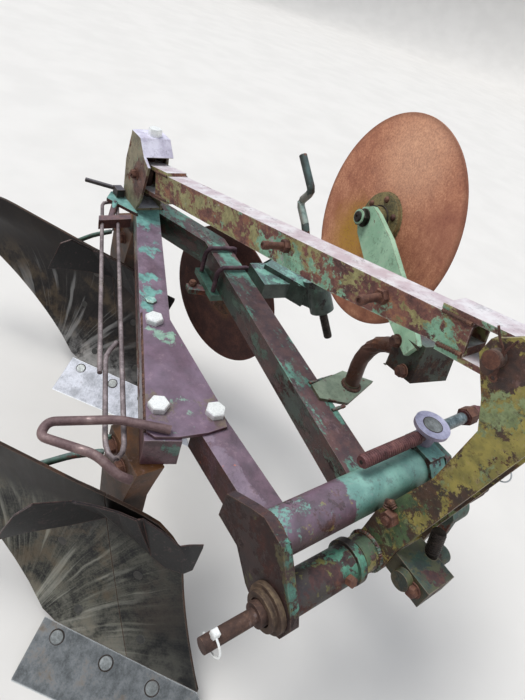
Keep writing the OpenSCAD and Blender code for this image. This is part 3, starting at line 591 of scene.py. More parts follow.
def weld_tree(title, smooth):
    """Merges doubled corners and shades smoothly across edges flatter than an angle in degrees."""
    tree = bpy.data.node_groups.new(title, "GeometryNodeTree")
    tree.interface.new_socket("Geometry", in_out="INPUT", socket_type="NodeSocketGeometry")
    tree.interface.new_socket("Geometry", in_out="OUTPUT", socket_type="NodeSocketGeometry")
    start, end = tree.nodes.new("NodeGroupInput"), tree.nodes.new("NodeGroupOutput")
    merge = tree.nodes.new("GeometryNodeMergeByDistance")
    merge.inputs["Distance"].default_value = 0.00002
    soft, hard = tree.nodes.new("GeometryNodeSetShadeSmooth"), tree.nodes.new("GeometryNodeSetShadeSmooth")
    soft.domain, hard.domain = "FACE", "EDGE"
    hard.inputs["Shade Smooth"].default_value = False
    angle, sharp = tree.nodes.new("GeometryNodeInputMeshEdgeAngle"), tree.nodes.new("FunctionNodeCompare")
    sharp.data_type, sharp.operation = "FLOAT", "GREATER_THAN"
    sharp.inputs[1].default_value = math.radians(smooth)
    tree.links.new(start.outputs[0], merge.inputs[0])
    tree.links.new(merge.outputs[0], soft.inputs[0])
    tree.links.new(soft.outputs[0], hard.inputs[0])
    tree.links.new(angle.outputs["Unsigned Angle"], sharp.inputs[0])
    tree.links.new(sharp.outputs[0], hard.inputs["Selection"])
    tree.links.new(hard.outputs[0], end.inputs[0])
    return tree


def dress(finish, *nodes, width=0.0012, smooth=26):
    """Gives CAD nodes their finish and rounded edges."""
    for node in nodes:
        shape = NODES[node]
        shape.data.materials.clear()
        shape.data.materials.append(finish)
        soften(node, width, smooth)


BAR = {"width": 0, "smooth": 52}


# Places on the plough, in millimetres from the working datum

FRAME_TOP, GUSSET_TOP, SHAFT_HEIGHT = 670, 678, 592
BEAM_FRONT = (-341, -383)
BEAM_SKEW = math.radians(21.8)
BEAM_BACK = (-math.cos(BEAM_SKEW), math.sin(BEAM_SKEW), 0)
BEAM_LEFT = (math.sin(BEAM_SKEW), math.cos(BEAM_SKEW), 0)
DIAGONAL_REAR = (-1023, 115)
DIAGONAL_YAW = math.atan2(-149, 933)
BRACE_REAR = (-1160, 798)
BRACE_PITCH = math.atan2(266, 1079)
FRONT_BOLT, MIDDLE_BOLT, REAR_BOLT, LEFT_BOLT = (-419, -360), (-679, -253), (-765, -219), (-365, -255)
# The width screw's middle line, and the middle of the trunnion's pin
SCREW_X, SCREW_Z = -104, 757
TRUNNION_Y = 104
# How far each body stands from the front one
BODIES = ((0, 0), (-876, 351))


def disc_place(x, y, z, yaw, tilt):
    """The frame of a coulter: its third axis is the axle, pointing left."""
    turn = Matrix.Rotation(math.radians(-yaw), 4, "Z") @ Matrix.Rotation(math.radians(tilt - 90), 4, "X")
    return Matrix.Translation(at(x, y, z)) @ turn


FRONT_DISC = disc_place(-511, 200, 1024, 12.7, -5.8)
REAR_DISC = disc_place(-985, 176, 469, -11.3, 0)


def on_main(behind, left, z):
    """A point on the main beam: distance behind its front end and to the left of its middle line."""
    c, s = math.cos(BEAM_SKEW), math.sin(BEAM_SKEW)
    return at(BEAM_FRONT[0] - behind * c + left * s, BEAM_FRONT[1] + behind * s + left * c, z)


def on_diagonal(x, across, z):
    """A point beside the diagonal beam's middle line."""
    c, s = math.cos(DIAGONAL_YAW), math.sin(DIAGONAL_YAW)
    middle = DIAGONAL_REAR[1] + (x - DIAGONAL_REAR[0]) * math.tan(DIAGONAL_YAW)
    return at(x - across * s, middle + across * c, z)


def on_brace(ahead, y, above):
    """A point of the top brace: distance ahead of its rear end, place across, height over its middle."""
    c, s = math.cos(BRACE_PITCH), math.sin(BRACE_PITCH)
    return at(BRACE_REAR[0] + ahead * c - above * s, y, BRACE_REAR[1] + ahead * s + above * c)


def on_board(behind, z):
    """A point of the front mouldboard's face and its outward normal, from the board's twist and lean."""
    foot, height, start, overhang = 60, 420, (-32.5, -340), 133

    def face(behind, z):
        t = min(1, max(0, (z - foot) / height))
        turn = math.radians(38 - 17.6 * t * (1 - t) + 5 * t)
        lean = overhang * (1 - (1 - t) ** 2) / math.sin(math.radians(39))
        return Vector((start[0] - lean - behind * math.cos(turn), start[1] - behind * math.sin(turn), z))

    rise = face(behind, z + 2) - face(behind, z - 2)
    normal = rise.cross(face(behind + 2, z) - face(behind - 2, z)).normalized()
    return at(*face(behind, z)), -normal if normal.z < 0 else normal


# Settings


class PloughLook(bpy.types.PropertyGroup):
    """Tones and wear of the paint, and size of the fasteners."""

    mauve: bpy.props.FloatVectorProperty(
        name="Mauve Paint", description="Main tone of the paint on the main beam", default=linear("#755e6d"),
        size=4, min=0.0, max=1.0, subtype="COLOR")
    turquoise: bpy.props.FloatVectorProperty(
        name="Turquoise Paint", description="Main tone of the turquoise brackets, patches and bolt",
        default=linear("#6dab9f"), size=4, min=0.0, max=1.0, subtype="COLOR")
    green: bpy.props.FloatVectorProperty(
        name="Green Paint", description="Main tone of the green bearing, stays and welds",
        default=linear("#4f7866"), size=4, min=0.0, max=1.0, subtype="COLOR")
    # The bare edges' pale tone also stands in for painted highlights along them
    edge_wear_and_highlight: bpy.props.FloatProperty(
        name="Edge Wear", description="How much bare metal shows on the painted edges", default=0.55,
        min=0.0, max=1.0, subtype="FACTOR")
    # The dust setting also scales a painted cool sky sheen on the faces that look up
    dust_and_top_sheen: bpy.props.FloatProperty(
        name="Dust", description="Pale dust on the faces that look up", default=0.12, min=0.0, max=1.0,
        subtype="FACTOR")
    frame_bolt: bpy.props.FloatProperty(
        name="Frame Bolt", description="Width across flats of the large frame bolts", default=0.039,
        min=0.02, max=0.05, unit="LENGTH")
    small_bolt: bpy.props.FloatProperty(
        name="Small Bolt", description="Width across flats of the bracket bolts", default=0.024,
        min=0.012, max=0.04, unit="LENGTH")
    weld: bpy.props.FloatProperty(
        name="Weld Bead", description="Radius of the weld beads", default=0.0042, min=0.001, max=0.01,
        unit="LENGTH")
    loop_bar: bpy.props.FloatProperty(
        name="Hand Loop Bar", description="Diameter of the hand loop's bar", default=0.018, min=0.01,
        max=0.03, unit="LENGTH")
    pitch: bpy.props.FloatProperty(
        name="Thread Pitch", description="Pitch of the adjusting screws' threads", default=0.0058,
        min=0.002, max=0.01, unit="LENGTH")


class StageLook(bpy.types.PropertyGroup):
    """Light and floor."""

    sky: bpy.props.FloatProperty(
        name="Sky", description="Strength of the light from all round", default=0.7, min=0.0, max=2.0)
    sun: bpy.props.FloatProperty(
        name="Sun", description="Strength of the soft key light", default=2.4, min=0.0, max=8.0)
    softness: bpy.props.FloatProperty(
        name="Softness", description="Angle that the key light covers", default=math.radians(28),
        min=0.0, max=3.1, subtype="ANGLE")
    floor: bpy.props.FloatProperty(
        name="Floor", description="Radius of the level floor", default=14.0, min=4.0, unit="LENGTH")
    wall: bpy.props.FloatProperty(
        name="Wall", description="Height of the wall round the floor", default=5.0, min=1.0, unit="LENGTH")


def look():
    return bpy.context.scene.plough_look


def paint(name):
    """The set tone of a paint, and its dark tone."""
    return getattr(look(), name), DARK_TONES[name]


# Finishes of the CAD nodes


def frame_finishes():
    dress(weathered("Mauve beam paint", [
        coat(("#8d8a3e", "#6b6a38"), 0.4, 15, -0.3),
        coat(paint("mauve"), 0.8, 11, 0.2,
             along((0, 0, 655), DOWN, 0, 30, -0.16), spot(-341, -383, 635, 60, 0.24)),
        coat(paint("turquoise"), 0.06, 26, 0.05,
             along((*BEAM_FRONT, FRAME_TOP), BEAM_BACK, 800, 900, 0.3),
             *[spot(x, y, FRAME_TOP, radius, amount) for x, y, radius, amount in (
                 (-1004, -130, 42, 0.14), (-865, -190, 46, 0.19), (-795, -216, 40, 0.17),
                 (-735, -240, 38, 0.17), (-660, -262, 34, 0.1))],
             spot(-338, -362, 640, 34, 0.3))],
        1.0, streak=(0.6, 1, 1), edge="#cfc3b8", gloss=0.32), "main_beam")
    dress(painted("Mauve plate paint", [
        coat(("#6d5263", "#553a47"), 0.97, 9, 0.12),
        coat(("#5b4038", "#6b5a3c"), 0.0, 26, 0.0,
             spot(*FRONT_BOLT, GUSSET_TOP, 62, 0.2), spot(*LEFT_BOLT, GUSSET_TOP, 50, 0.16),
             along((-450, -300, 0), BEAM_LEFT, 30, 90, 0.14)),
        coat(("#8fb59c", "#6f9480"), 0.0, 26, 0.0,
             spot(-641, -272, GUSSET_TOP, 34, 0.2), spot(-605, -238, GUSSET_TOP, 44, 0.2),
             spot(-400, -330, GUSSET_TOP, 60, 0.12))],
        2.0, edge="#b59c92", edge_share=look().edge_wear_and_highlight * 0.8, dust_and_top_sheen=look().dust_and_top_sheen, gloss=0.34),
        "gusset_plate")
    dress(weathered("Rusty red beam paint", [
        coat(("#5f332e", "#442624"), 0.75, 9, -0.1),
        coat(("#664a57", "#4a333d"), 0.3, 12, 0.36),
        # The third coat is a painted sheen: a pale band along the top face's right-hand half, standing for a
        # highlight
        coat(("#806c7a", "#6c5866"), 0.0, 12, 0.34, along((0, -269, 0), LEFT, -24, 26, -0.4))],
        3.0, rust=("#2a1a19", "#55302a", "#8b4b2f"), edge="#9c8678", flecks=(0.1, "#c96a38", 34)),
        "front_beam", width=0)
    front_edge = ((38, 0, 636), (0.69, 0, 0.72))
    dress(weathered("Red brown plate paint", [
        coat(("#402521", "#291918"), 0.5, 14),
        coat(("#6b7040", "#474d2c"), 0.16, 30, -0.05,
             spot(-60, -308, 560, 90, 0.05), along(*front_edge, -8, -1, 0.12),
             along((50, 0, 580), AHEAD, -12, -4, 0.12)),
        coat(("#5aa08e", "#3f7466"), 0.0, 30, 0.0,
             along(*front_edge, -5, 0, 0.14), spot(26, -308, 648, 30, 0.12))],
        4.0, rust=("#1f1413", "#40251f", "#6a3c28"), edge="#a08468", dust_and_top_sheen=0.4), "bearing_plate")
    dress(weathered("Turquoise tube paint", [
        coat(("#6b5060", "#4c383e"), 0.6, 13, 0.02),
        coat(("#a0913a", "#6f6a34"), 0.12, 30, -0.05, along((0, -150, 0), RIGHT, 0, 60, 0.07)),
        coat(("#7fb5a6", "#5d9487"), 0.1, 9, 0.1, along((0, -130, 0), LEFT, -25, 12, 0.33))],
        5.0, rust=DARK_RUST, gloss=0.5), "cross_tube")
    dress(weathered("Green diagonal paint", [
        coat(("#3c6152", "#253d34"), 0.66, 8),
        coat(("#61413b", "#40292a"), 0.5, 13, 0.07,
             spot(-600, 45, FRAME_TOP, 190, 0.11), spot(-250, -10, FRAME_TOP, 160, 0.1)),
        coat(("#6aa28f", "#4a7f6e"), 0.27, 20, 0.04, spot(-880, 90, FRAME_TOP, 190, 0.06))],
        6.0, rust=DARK_RUST, edge="#b3a898", dust_and_top_sheen=0.5, gloss=0.42, streak=(0.4, 1, 1)),
        "diagonal_beam", width=0)
    dress(weathered("Streaked brace paint", [
        coat(("#9b9864", "#80784c"), 0.5, 30, -0.12, along((-600, 0, 0), AHEAD, 0, 400, -0.05)),
        coat(("#8fbf9f", "#6f9f86"), 0.2, 12, -0.2,
             spot(-560, -50, 930, 90, 0.14), spot(-430, -50, 975, 130, 0.1),
             spot(-130, -50, 1040, 60, 0.12), spot(-240, -50, 1000, 60, 0.1)),
        coat(("#dedbdc", "#bfaeb2"), 0.12, 10, 0.36)],
        7.0, rust=("#452f2e", "#764f47", "#a47553"), edge="#ddd6cc", streak=(0.7, 1, 1), gloss=0.45,
        shade=0.12), "top_brace")
    dress(weathered("Drab bracket paint", [
        coat(("#8d866c", "#6b6650"), 0.66, 14, -0.1),
        coat(("#7f9478", "#677d62"), 0.2, 18, -0.1),
        # The pale bluish coat that keeps to the faces that look up is in part a painted reflection of the sky
        coat(("#e2e1f0", "#bdb8cc"), 0.16, 9, 0.5),
        coat(("#6f4a3c", "#4b3029"), 0.0, 18, 0.0, spot(-1212, -78, 786, 84, 0.4))],
        8.0, edge="#c0b6a2", shade=0.2), "rear_bracket")


def hitch_finishes():
    dress(weathered("Olive mast paint", [
        coat(("#a0974c", "#7f7a3e"), 0.8, 18, 0.0,
             spot(0, -85, 900, 150, -0.05), spot(0, -85, 700, 90, -0.06)),
        coat(("#7b5a2e", "#5c4428"), 0.34, 10),
        coat(("#4f3828", "#3a2d23"), 0.32, 24, 0.0, along((0, 0, 960), DOWN, 0, 160, 0.12)),
        coat(("#8fa072", "#74855a"), 0.24, 22, 0.0,
             spot(40, -85, 1060, 60, 0.1), spot(10, -85, 1010, 60, 0.03)),
        coat(("#5a7549", "#425a3e"), 0.12, 14, 0.05,
             spot(0, -100, 600, 110, 0.08), spot(0, -85, 730, 120, 0.16)),
        coat(("#3a2b27", "#54382c"), 0.0, 34, 0.0,
             spot(-2, -85, 1106, 56, 0.36), spot(-30, -85, 1050, 50, 0.12))],
        10.0, rust=("#3c2720", "#6a442f", "#96653a"), edge="#8f7250", dust_and_top_sheen=0.6, shade=0.25),
        "mast_right", "mast_left", width=0)
    dress(weathered("Sleeve paint", [
        coat(("#3a332c", "#292323"), 0.6, 16),
        coat(("#7c7a36", "#5d5c2e"), 0.25, 30),
        coat(("#5a9a80", "#3f7461"), 0.1, 14, 0.05, along((0, -200, 0), LEFT, 0, 26, 0.12))],
        11.0, rust=DARK_RUST, edge="#8f8572", dust_and_top_sheen=0.3), "shaft_sleeve")
    dress(rusted("Worn shaft steel", ("#2a1f1d", "#4e3a33", "#775a49"), 12.0, 26, polish=("#8a7f80", 0.3)),
          "cross_shaft")
    dress(rusted("Ringed bearing rust", ("#2d211c", "#57473a", "#84735a"), 13.0, 22, stretch=(1, 5, 1)),
          "right_bearing")
    dress(weathered("Green bearing paint", [coat(paint("green"), 0.7, 12)], 14.0), "left_bearing")
    dress(weathered("Olive screw block paint", [
        coat(("#4f5330", "#373b26"), 0.7, 14), coat(("#32503f", "#22362c"), 0.4, 18)],
        21.0, rust=DARK_RUST, dust_and_top_sheen=0.3), "level_bracket")
    dress(rusted("Brown pin steel", ("#2b1f1d", "#54403a", "#7b6156"), 15.0, 40, polish=("#8b7f78", 0.2)),
          "brace_pins", "mast_spacer", "swivel_block")
    dress(weathered("Turquoise bracket paint", [coat(paint("turquoise"), 0.6, 16, 0.05)], 16.0,
                    rust=DARK_RUST), "trunnion_bracket")
    dress(weathered("Turquoise, brown and black paint", [
        coat(paint("turquoise"), 0.72, 20, 0.05, along((0, 0, 680.5), DOWN, 0, 1.5, -0.6)),
        coat(("#211e1e", "#2d2827"), 0.0, 20, 0.0, along((0, 0, 683), UP, 0, 3, 0.6))],
        22.0, rust=("#35221f", "#5a3b36", "#7b5648")), "loop_bracket")
    dress(rusted("Violet trunnion steel", ("#8786a0", "#adacc8", "#d0d0e6"), 17.0, rough=0.5, metal=0.4,
                 bump=0.25), "screw_trunnion")
    dress(rusted("Red purple screw steel", ("#3a2426", "#6b4447", "#946660"), 18.0, 40, 0.55), "width_screw")
    dress(rusted("Black screw steel", ("#14120f", "#2b2622", "#473c33"), 19.0, 40, 0.5, 0.4), "level_screw")
    dress(rusted("Dark rod rust", ("#4a4042", "#7c7173", "#b3a7aa"), 20.0, 24, 0.55,
                 polish=("#a79c98", 0.25)), "rod_loop", **BAR)


def body_finishes():
    dress(painted("Brown leg paint", [coat(("#603911", "#38210b"), 0.88, 6)], 30.0,
                  rust=("#38211a", "#673a20", "#96562a"), shade=0.35, dust_and_top_sheen=0.0, chips=0.3, edge="#94704c",
                  bump=0.25), "front_leg", "rear_leg")
    dress(rusted("Dark frog casting", ("#211d1a", "#3b3029", "#5f4a38"), 31.0, 36), "front_frog", "rear_frog")
    for number, (name, base, dark, pale, foot, share, share_dark) in enumerate((
            ("front", "#5b5a51", "#141518", "#b3b2a6", 0.3, "#7b7f82", "#45494b"),
            ("rear", "#2f2b29", "#171516", "#b9b8b6", 0.8, "#b8bbc6", "#74777e"))):
        point = at(150 + BODIES[number][0], -340 + BODIES[number][1], 0)
        for part, brown, streaks in (("mouldboard", "#584a39", foot), ("shin", "#4b4038", foot * 0.4)):
            title = "%s %s steel" % (name.capitalize(), part)
            dress(scoured_board(title, point, base, dark, pale, brown, 32.0 + number, streaks),
                  name + "_" + part, width=0.001)
        dress(bright_share(name.capitalize() + " share steel", point, 38.0 + number, share, share_dark),
              name + "_share", width=0.0015)
    dress(painted("Blue black board paint", [coat(("#101216", "#0b0c0e"), 0.94, 8)], 41.0, rust=DARK_RUST,
                  chips=0.15, edge="#a07f78", edge_share=0.8, dust_and_top_sheen=0.0, gloss=0.5, bump=0.25),
          "front_trash_board", "rear_trash_board")
    dress(rusted("Landside rust", ("#33261f", "#60473a", "#8a6a50"), 42.0, 24, polish=("#8d8a84", 0.4)),
          "front_landside", "rear_landside")
    dress(painted("Green stay paint", [coat(paint("green"), 0.6, 16)], 43.0),
          "front_stay", "rear_stay", **BAR)


def coulter_finishes():
    # On the front disc the first spot is a painted highlight above the hub and the last a painted shadow
    # beside the arm; the others are rust tints
    dress(disc_finish("Orange disc rust", FRONT_DISC, ("#80493a", "#b2775b", "#dca481"), (
        ("#e6b99a", (0.0, 0.0, 0.16), 0.17, 0.6), ("#8c5549", (0.19, 0.0, 0.07), 0.14, 0.5),
        ("#8c463f", (-0.07, 0.0, -0.22), 0.14, 0.6), ("#8a5a4c", (0.17, 0.0, -0.13), 0.15, 0.4),
        ("#9c5a44", (-0.17, 0.0, -0.05), 0.09, 0.5), ("#b28a26", (-0.075, 0.0, -0.08), 0.13, 0.9),
        ("#4c3127", (0.06, 0.0, -0.19), 0.10, 0.55)), ("#48432f", "#8a7d54"), 50.0), "front_disc")
    # The rear disc's one spot is a painted highlight in a ring round the hub
    dress(disc_finish("Dark disc rust", REAR_DISC, ("#2a1816", "#432825", "#6b4439"),
                      (("#b98552", (0.0, 0.0, 0.0), 0.1, 0.6),), ("#2c211c", "#6a4a34"), 51.0, 0.35),
          "rear_disc")
    dress(painted("Pale green arm paint", [
        coat(("#a9d0b2", "#90ba9c"), 0.94, 9),
        coat(("#6d3f3c", "#553030"), 0.0, 34, 0.0,
             spot(-492, 168, 1040, 30, 0.34), spot(-480, 160, 1000, 22, 0.2))],
        52.0, edge="#7c3d38", edge_share=0.95, dust_and_top_sheen=0.03, gloss=0.6, bump=0.25, shade=0.12), "front_arm")
    green_below = (0, 0, 692)
    dress(painted("Brown stem rust", [
        coat(("#6c4a38", "#553829"), 0.5, 12, 0.0, along(green_below, DOWN, 0, 6, -0.6)),
        coat(("#8a9a82", "#71836c"), 0.0, 16, 0.0, along(green_below, DOWN, 0, 6, 0.34))],
        53.0, rust=("#3a271f", "#674633", "#926748"), edge="#8a7a66", edge_share=0.3, dust_and_top_sheen=0.05, gloss=0.5,
        bump=0.3), "front_stem", **BAR)
    dress(weathered("Green black casting", [coat(("#3f5844", "#2b3b30"), 0.55, 12)], 54.0,
                  rust=("#231c19", "#46352a", "#7c5a3c"), edge="#7d7e62"),
          "front_clamp")
    dress(weathered("Deep green arm paint", [
        coat(("#4a8070", "#346052"), 0.75, 12), coat(("#8fc4ae", "#6ba48e"), 0.12, 20)],
        55.0, rust=DARK_RUST, edge="#9aa894"), "rear_arm")
    dress(weathered("Oily green casting", [
        coat(("#507168", "#36524d"), 0.7, 14), coat(("#7ab8a3", "#5c9a87"), 0.2, 22, 0.12)],
        56.0, rust=("#1d1a1a", "#373334", "#5b514c"), edge="#7da393", gloss=0.4), "rear_casting")
    dress(painted("Plum clamp rust", [
        coat(("#4a7c68", "#35594a"), 0.0, 16, 0.0, along((0, 0, 600), DOWN, 0, 5, 0.4))],
        57.0, rust=("#33222a", "#57404a", "#7b5f66"), edge="#8a7478", dust_and_top_sheen=0.04, shade=0.4),
        "rear_clamp", **BAR)
    dress(painted("Blue green crank paint", [
        coat(("#557472", "#394e4c"), 0.8, 16, 0.0, along((0, 0, 880), DOWN, 0, 20, -0.3)),
        # The pale second coat at the bend is pale paint and, in part, a painted highlight
        coat(("#b9d2cc", "#8fb2aa"), 0.0, 18, 0.0,
             spot(-775, 200, 925, 60, 0.34), spot(-752, 200, 890, 30, 0.2))],
        58.0, rust=ORANGE_RUST, edge="#7d6a58", edge_share=0.3, dust_and_top_sheen=0.05), "crank", **BAR)


# Fasteners, threads and welds

METALS = {}


def metals():
    """Finishes shared by the small pieces."""
    if not METALS:
        METALS.update(
            bright=zinc("Bright zinc", 60.0, "#f4f6f5", 0.0),
            dull=zinc("Dull zinc", 61.0, "#b9bfc4", 0.4),
            rust=rusted("Fastener rust", ("#3a2622", "#66453a", "#8e6650"), 62.0, 60, 0.7),
            black=rusted("Greased thread steel", ("#15130f", "#2a2521", "#443a34"), 63.0, 60, 0.45, 0.5),
            plum=rusted("Plum thread steel", ("#3a2426", "#6f484b", "#9a6c66"), 64.0, 60, 0.5, 0.3),
            weld=rusted("Weld rust", ("#33241f", "#5b4035", "#86624c"), 65.0, 70, 0.65),
            green_weld=painted("Painted weld", [coat(paint("green"), 0.5, 30)], 66.0),
            turquoise=painted("Painted bolt", [coat((look().turquoise, "#a9cdbf"), 0.8, 40, 0.1)], 67.0),
            board=rusted("Board bolt steel", ("#2e3031", "#424442", "#5a5b56"), 71.0, 60, 0.45, 0.3,
                         bump=0.15),
            scoured=rusted("Worn bolt heads", ("#5c5e5c", "#7c8080", "#a3a8a8"), 68.0, 60, 0.4, 0.5,
                           bump=0.2),
            rod=rusted("Worn rod steel", ("#2f3a3a", "#6b7b80", "#aebcc2"), 70.0, 50, 0.35, 0.6, bump=0.2),
            loop=rusted("Mauve rod rust", ("#3f2d2d", "#644e50", "#87716f"), 23.0, 24, 0.62, 0.1,
                        ("#93807f", 0.15)),
            soot=rusted("Seam dirt", ("#171412", "#251f1b", "#3a2f28"), 69.0, 60, 0.9, 0.0))
    return METALS


def frame_bolts():
    big, small = look().frame_bolt, look().small_bolt
    heads = Piece("frame_bolt_heads", "bright", "plain_steel")
    for place, turn in ((FRONT_BOLT, 0.35), (MIDDLE_BOLT, 0.05), (LEFT_BOLT, 0.6)):
        heads.hexagon(at(*place, GUSSET_TOP), UP, big, 0.0155, turn, round_top=True)
    heads.hexagon(at(-1264, -20, 893), UP, 0.0365, 0.0285, 0.2, round_top=True)
    heads.done()
    beam_bottom = FRAME_TOP - 75
    nuts = Piece("frame_bolt_nuts", "dull", "plain_steel")
    for place in (MIDDLE_BOLT, REAR_BOLT):
        nuts.hexagon(at(*place, beam_bottom), DOWN, big, 0.018, 0.3, washer=0.024, stud=0.008)
    nuts.done()
    painted_head = Piece("painted_bolt_head", "turquoise", "turquoise_paint")
    painted_head.hexagon(at(-765, -222, FRAME_TOP), UP, 0.026, 0.006, 0.2, round_top=True)
    painted_head.done()
    side = Piece("bracket_side_bolts", "rust")
    side.hexagon(at(-1239, -78, 788), RIGHT, small, 0.013, 0.1, washer=0.019, stud=0.006)
    side.hexagon(at(-1270, 20, 779), LEFT, small, 0.014, 0.3, washer=0.019, stud=0.008)
    side.done()


def brace_fasteners():
    studs = Piece("brace_studs", "rust")
    for place, lean in ((at(-531, -50, 965), (-0.14, -1, 0.03)), (at(-257, -50, 1031), RIGHT)):
        way = Vector(lean).normalized()
        studs.hexagon(place + way * -0.001, way, 0.027, 0.013, 0.3)
        studs.lathe(place + way * 0.012, way, [(0.0080, 0), (0.0078, 0.034), (0.0096, 0.036), (0.0096, 0.048),
                                               (0.0078, 0.050), (0.005, 0.0505), (0.005, 0.048)], 18)
    studs.done()
    pin = Piece("top_pin_split_pin", "rust")
    wire = 0.0019
    for shift, bent, end in ((0, -12, -24), (3, 5, 10)):
        route = [at(-8 + shift, -93, 1080), at(-17 + shift, -93, 1121), at(-17 + bent, -95, 1130),
                 at(-17 + end, -97, 1146)]
        pin.tube(rounded(route, 0.006), wire, 8)
    pin.tube(circle(at(-6, -93, 1077), LEFT, 0.005, 20), wire, 8)
    pin.done()
    bolts = Piece("mast_bolts", "rust")
    bolts.hexagon(at(0, -85, 716), RIGHT, 0.030, 0.017, 0.2, stud=0.007)
    bolts.hexagon(at(108, -81, 631), RIGHT, 0.024, 0.010, 0.3, washer=0.017, round_top=True)
    bolts.lathe(at(-20, -102.9, 1102), RIGHT,
                [(0.0142, 0), (0.0136, 0.0012), (0.0095, 0.0020), (0.002, 0.0024)], 32)
    bolts.lathe(at(-20, 55, 1102), LEFT, [(0.019, 0), (0.019, 0.006), (0.016, 0.008)], 28)
    bolts.done()


def linchpins():
    """The linchpins in both link pins, with their spring rings."""
    for side, metal, y, ring_y in (("right", "bright", -445, -447), ("left", "dull", 405, 407)):
        clip = Piece(side + "_linchpin", metal, "plain_steel")
        clip.lathe(at(0, y, 568), UP, [(0.003, 0), (0.0045, 0.004), (0.0045, 0.045)], 16)
        head = [at(-6, y - 6, 612), at(7, y - 6, 612), at(7, y + 6, 612), at(-6, y + 6, 612)]
        clip.slab(head, UP, 0.017, 0.002)
        clip.tube(circle(at(3, ring_y, 597), LEFT, 0.025, 36, 0.25, 0.66), 0.0021, 8)
        clip.done()


def hand_loop_bar():
    """The hand loop as one bent bar, in place of its CAD node, whose tight bend folds over itself."""
    route = [at(-349, -366, 687.3), at(-405, -450, 690), at(-454, -567, 677), at(-433, -588, 668),
             at(-352, -512, 676), at(-314, -484, 648), at(-304, -462, 634)]
    bar = Piece("hand_loop_bar", "loop")
    bar.tube(rounded(route, 0.02, 10), look().loop_bar / 2, 20)
    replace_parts(bar.done(), "hand_loop")


def on_screw(y):
    """A point on the width screw's middle line."""
    return at(SCREW_X, y, SCREW_Z)


def screws():
    pitch = look().pitch
    wide = Piece("width_screw_thread", "plum")
    wide.thread(on_screw(-94.6), on_screw(76), 0.0121, pitch, 0.0028)
    wide.done()
    hole = Piece("width_screw_centre_hole", "soot")
    hole.lathe(on_screw(-95), RIGHT, [(0.0045, -0.0005), (0.0045, 0.0004), (0.003, 0.0006)], 20)
    hole.done()
    smooth = Piece("width_screw_bright_rod", "rod", "plain_steel")
    smooth.lathe(on_screw(133), LEFT, [(0.0123, 0), (0.0132, 0.001), (0.0132, 0.100), (0.0123, 0.101)], 28)
    smooth.done()
    nut = Piece("width_screw_nut", "rust")
    nut.hexagon(on_screw(240), LEFT, 0.038, 0.034, 0.25)
    nut.done()
    level = Piece("level_screw_thread", "black")
    core, depth = 0.0131, 0.0017
    top, low = at(62, -6, 706), at(108, -22, 560)
    level.thread(top.lerp(low, 0.70), low - (low - top).normalized() * 0.0004, core, pitch, depth)
    level.thread(top, top.lerp(low, 0.33), core, pitch, depth)
    level.done()
    spindle = Piece("crank_thread", "black")
    core = 0.0111
    top, low = at(-727, 200, 854), at(-590, 300, 579)
    spindle.thread(top.lerp(low, 0.62), low, core, pitch, depth)
    spindle.thread(top.lerp(low, 0.06), top.lerp(low, 0.30), core, pitch, 0.0012)
    spindle.done()
    cap = Piece("trunnion_pin_end", "scoured", "plain_steel")
    cap.lathe(at(SCREW_X, TRUNNION_Y, 786), UP, [(0.0205, -0.001), (0.0205, 0.0006), (0.0195, 0.0013)], 40)
    cap.done()
    rim = Piece("trunnion_pin_seam", "soot")
    rim.tube(circle(at(SCREW_X, TRUNNION_Y, 786.2), UP, 0.0213), 0.0007, 6)
    rim.done()
    setter = Piece("sleeve_set_screw", "rust")
    way = Vector((0.87, 0, 0.49)).normalized()
    setter.hexagon(at(0, -172, SHAFT_HEIGHT) + way * 0.0375, way, 0.020, 0.013, 0.2, round_top=True)
    setter.done()


def body_bolts():
    up = Vector((0.29, -0.36, 0.885)).normalized()
    for (dx, dy), name in zip(BODIES, ("front", "rear")):
        shift = Vector((dx, dy, 0)) * MM
        heads = Piece(name + "_share_bolts", "scoured", "share_steel")
        seams = Piece(name + "_bolt_seams", "soot", "casting")
        head = [(0.0155, -0.003), (0.0155, 0.0012), (0.0147, 0.0024), (0.004, 0.0030)]
        for x, y, z in ((-305, -584, 47), (-197, -502, 45), (-96, -427, 43)):
            place = at(x, y, z) + shift
            heads.lathe(place, up, head, 28)
            seams.tube([p + up * 0.0006 for p in circle(place, up, 0.0172, 40)], 0.0013, 6)
        board = Piece(name + "_plough_bolts", "board", "scoured_steel")
        for behind, z in ((314, 103), (140, 108), (120, 255), (330, 240), (255, 380)):
            place, normal = on_board(behind, z)
            board.lathe(place + shift, normal, [(0.0118, -0.003), (0.0118, 0.0002), (0.0108, 0.0009)], 24)
        heads.done()
        seams.done()
        board.done()
        land = Piece(name + "_landside_bolts", "scoured")
        for x, z in ((-150, 52), (-230, 52), (-400, 58)):
            land.lathe(at(x, -342, z) + shift, LEFT, [(0.012, -0.003), (0.012, 0.0006), (0.0105, 0.0016)], 24)
        land.done()
        leg = Piece(name + "_leg_bolts", "rust")
        left_face, right_face = -373, -433
        for x, z in ((-330, 150), (-385, 210), (-355, 100)):
            leg.hexagon(at(x, left_face, z) + shift, LEFT, 0.027, 0.013, 0.3 + z, washer=0.019, stud=0.006)
        for x, z in ((-392, 545), (-442, 560)):
            left, right = at(x, left_face, z) + shift, at(x, right_face, z) + shift
            leg.hexagon(left, LEFT, 0.030, 0.014, 0.2 + z, washer=0.021, stud=0.008)
            leg.hexagon(right, RIGHT, 0.030, 0.013, 0.7 + z, washer=0.021, round_top=True)
        leg.done()


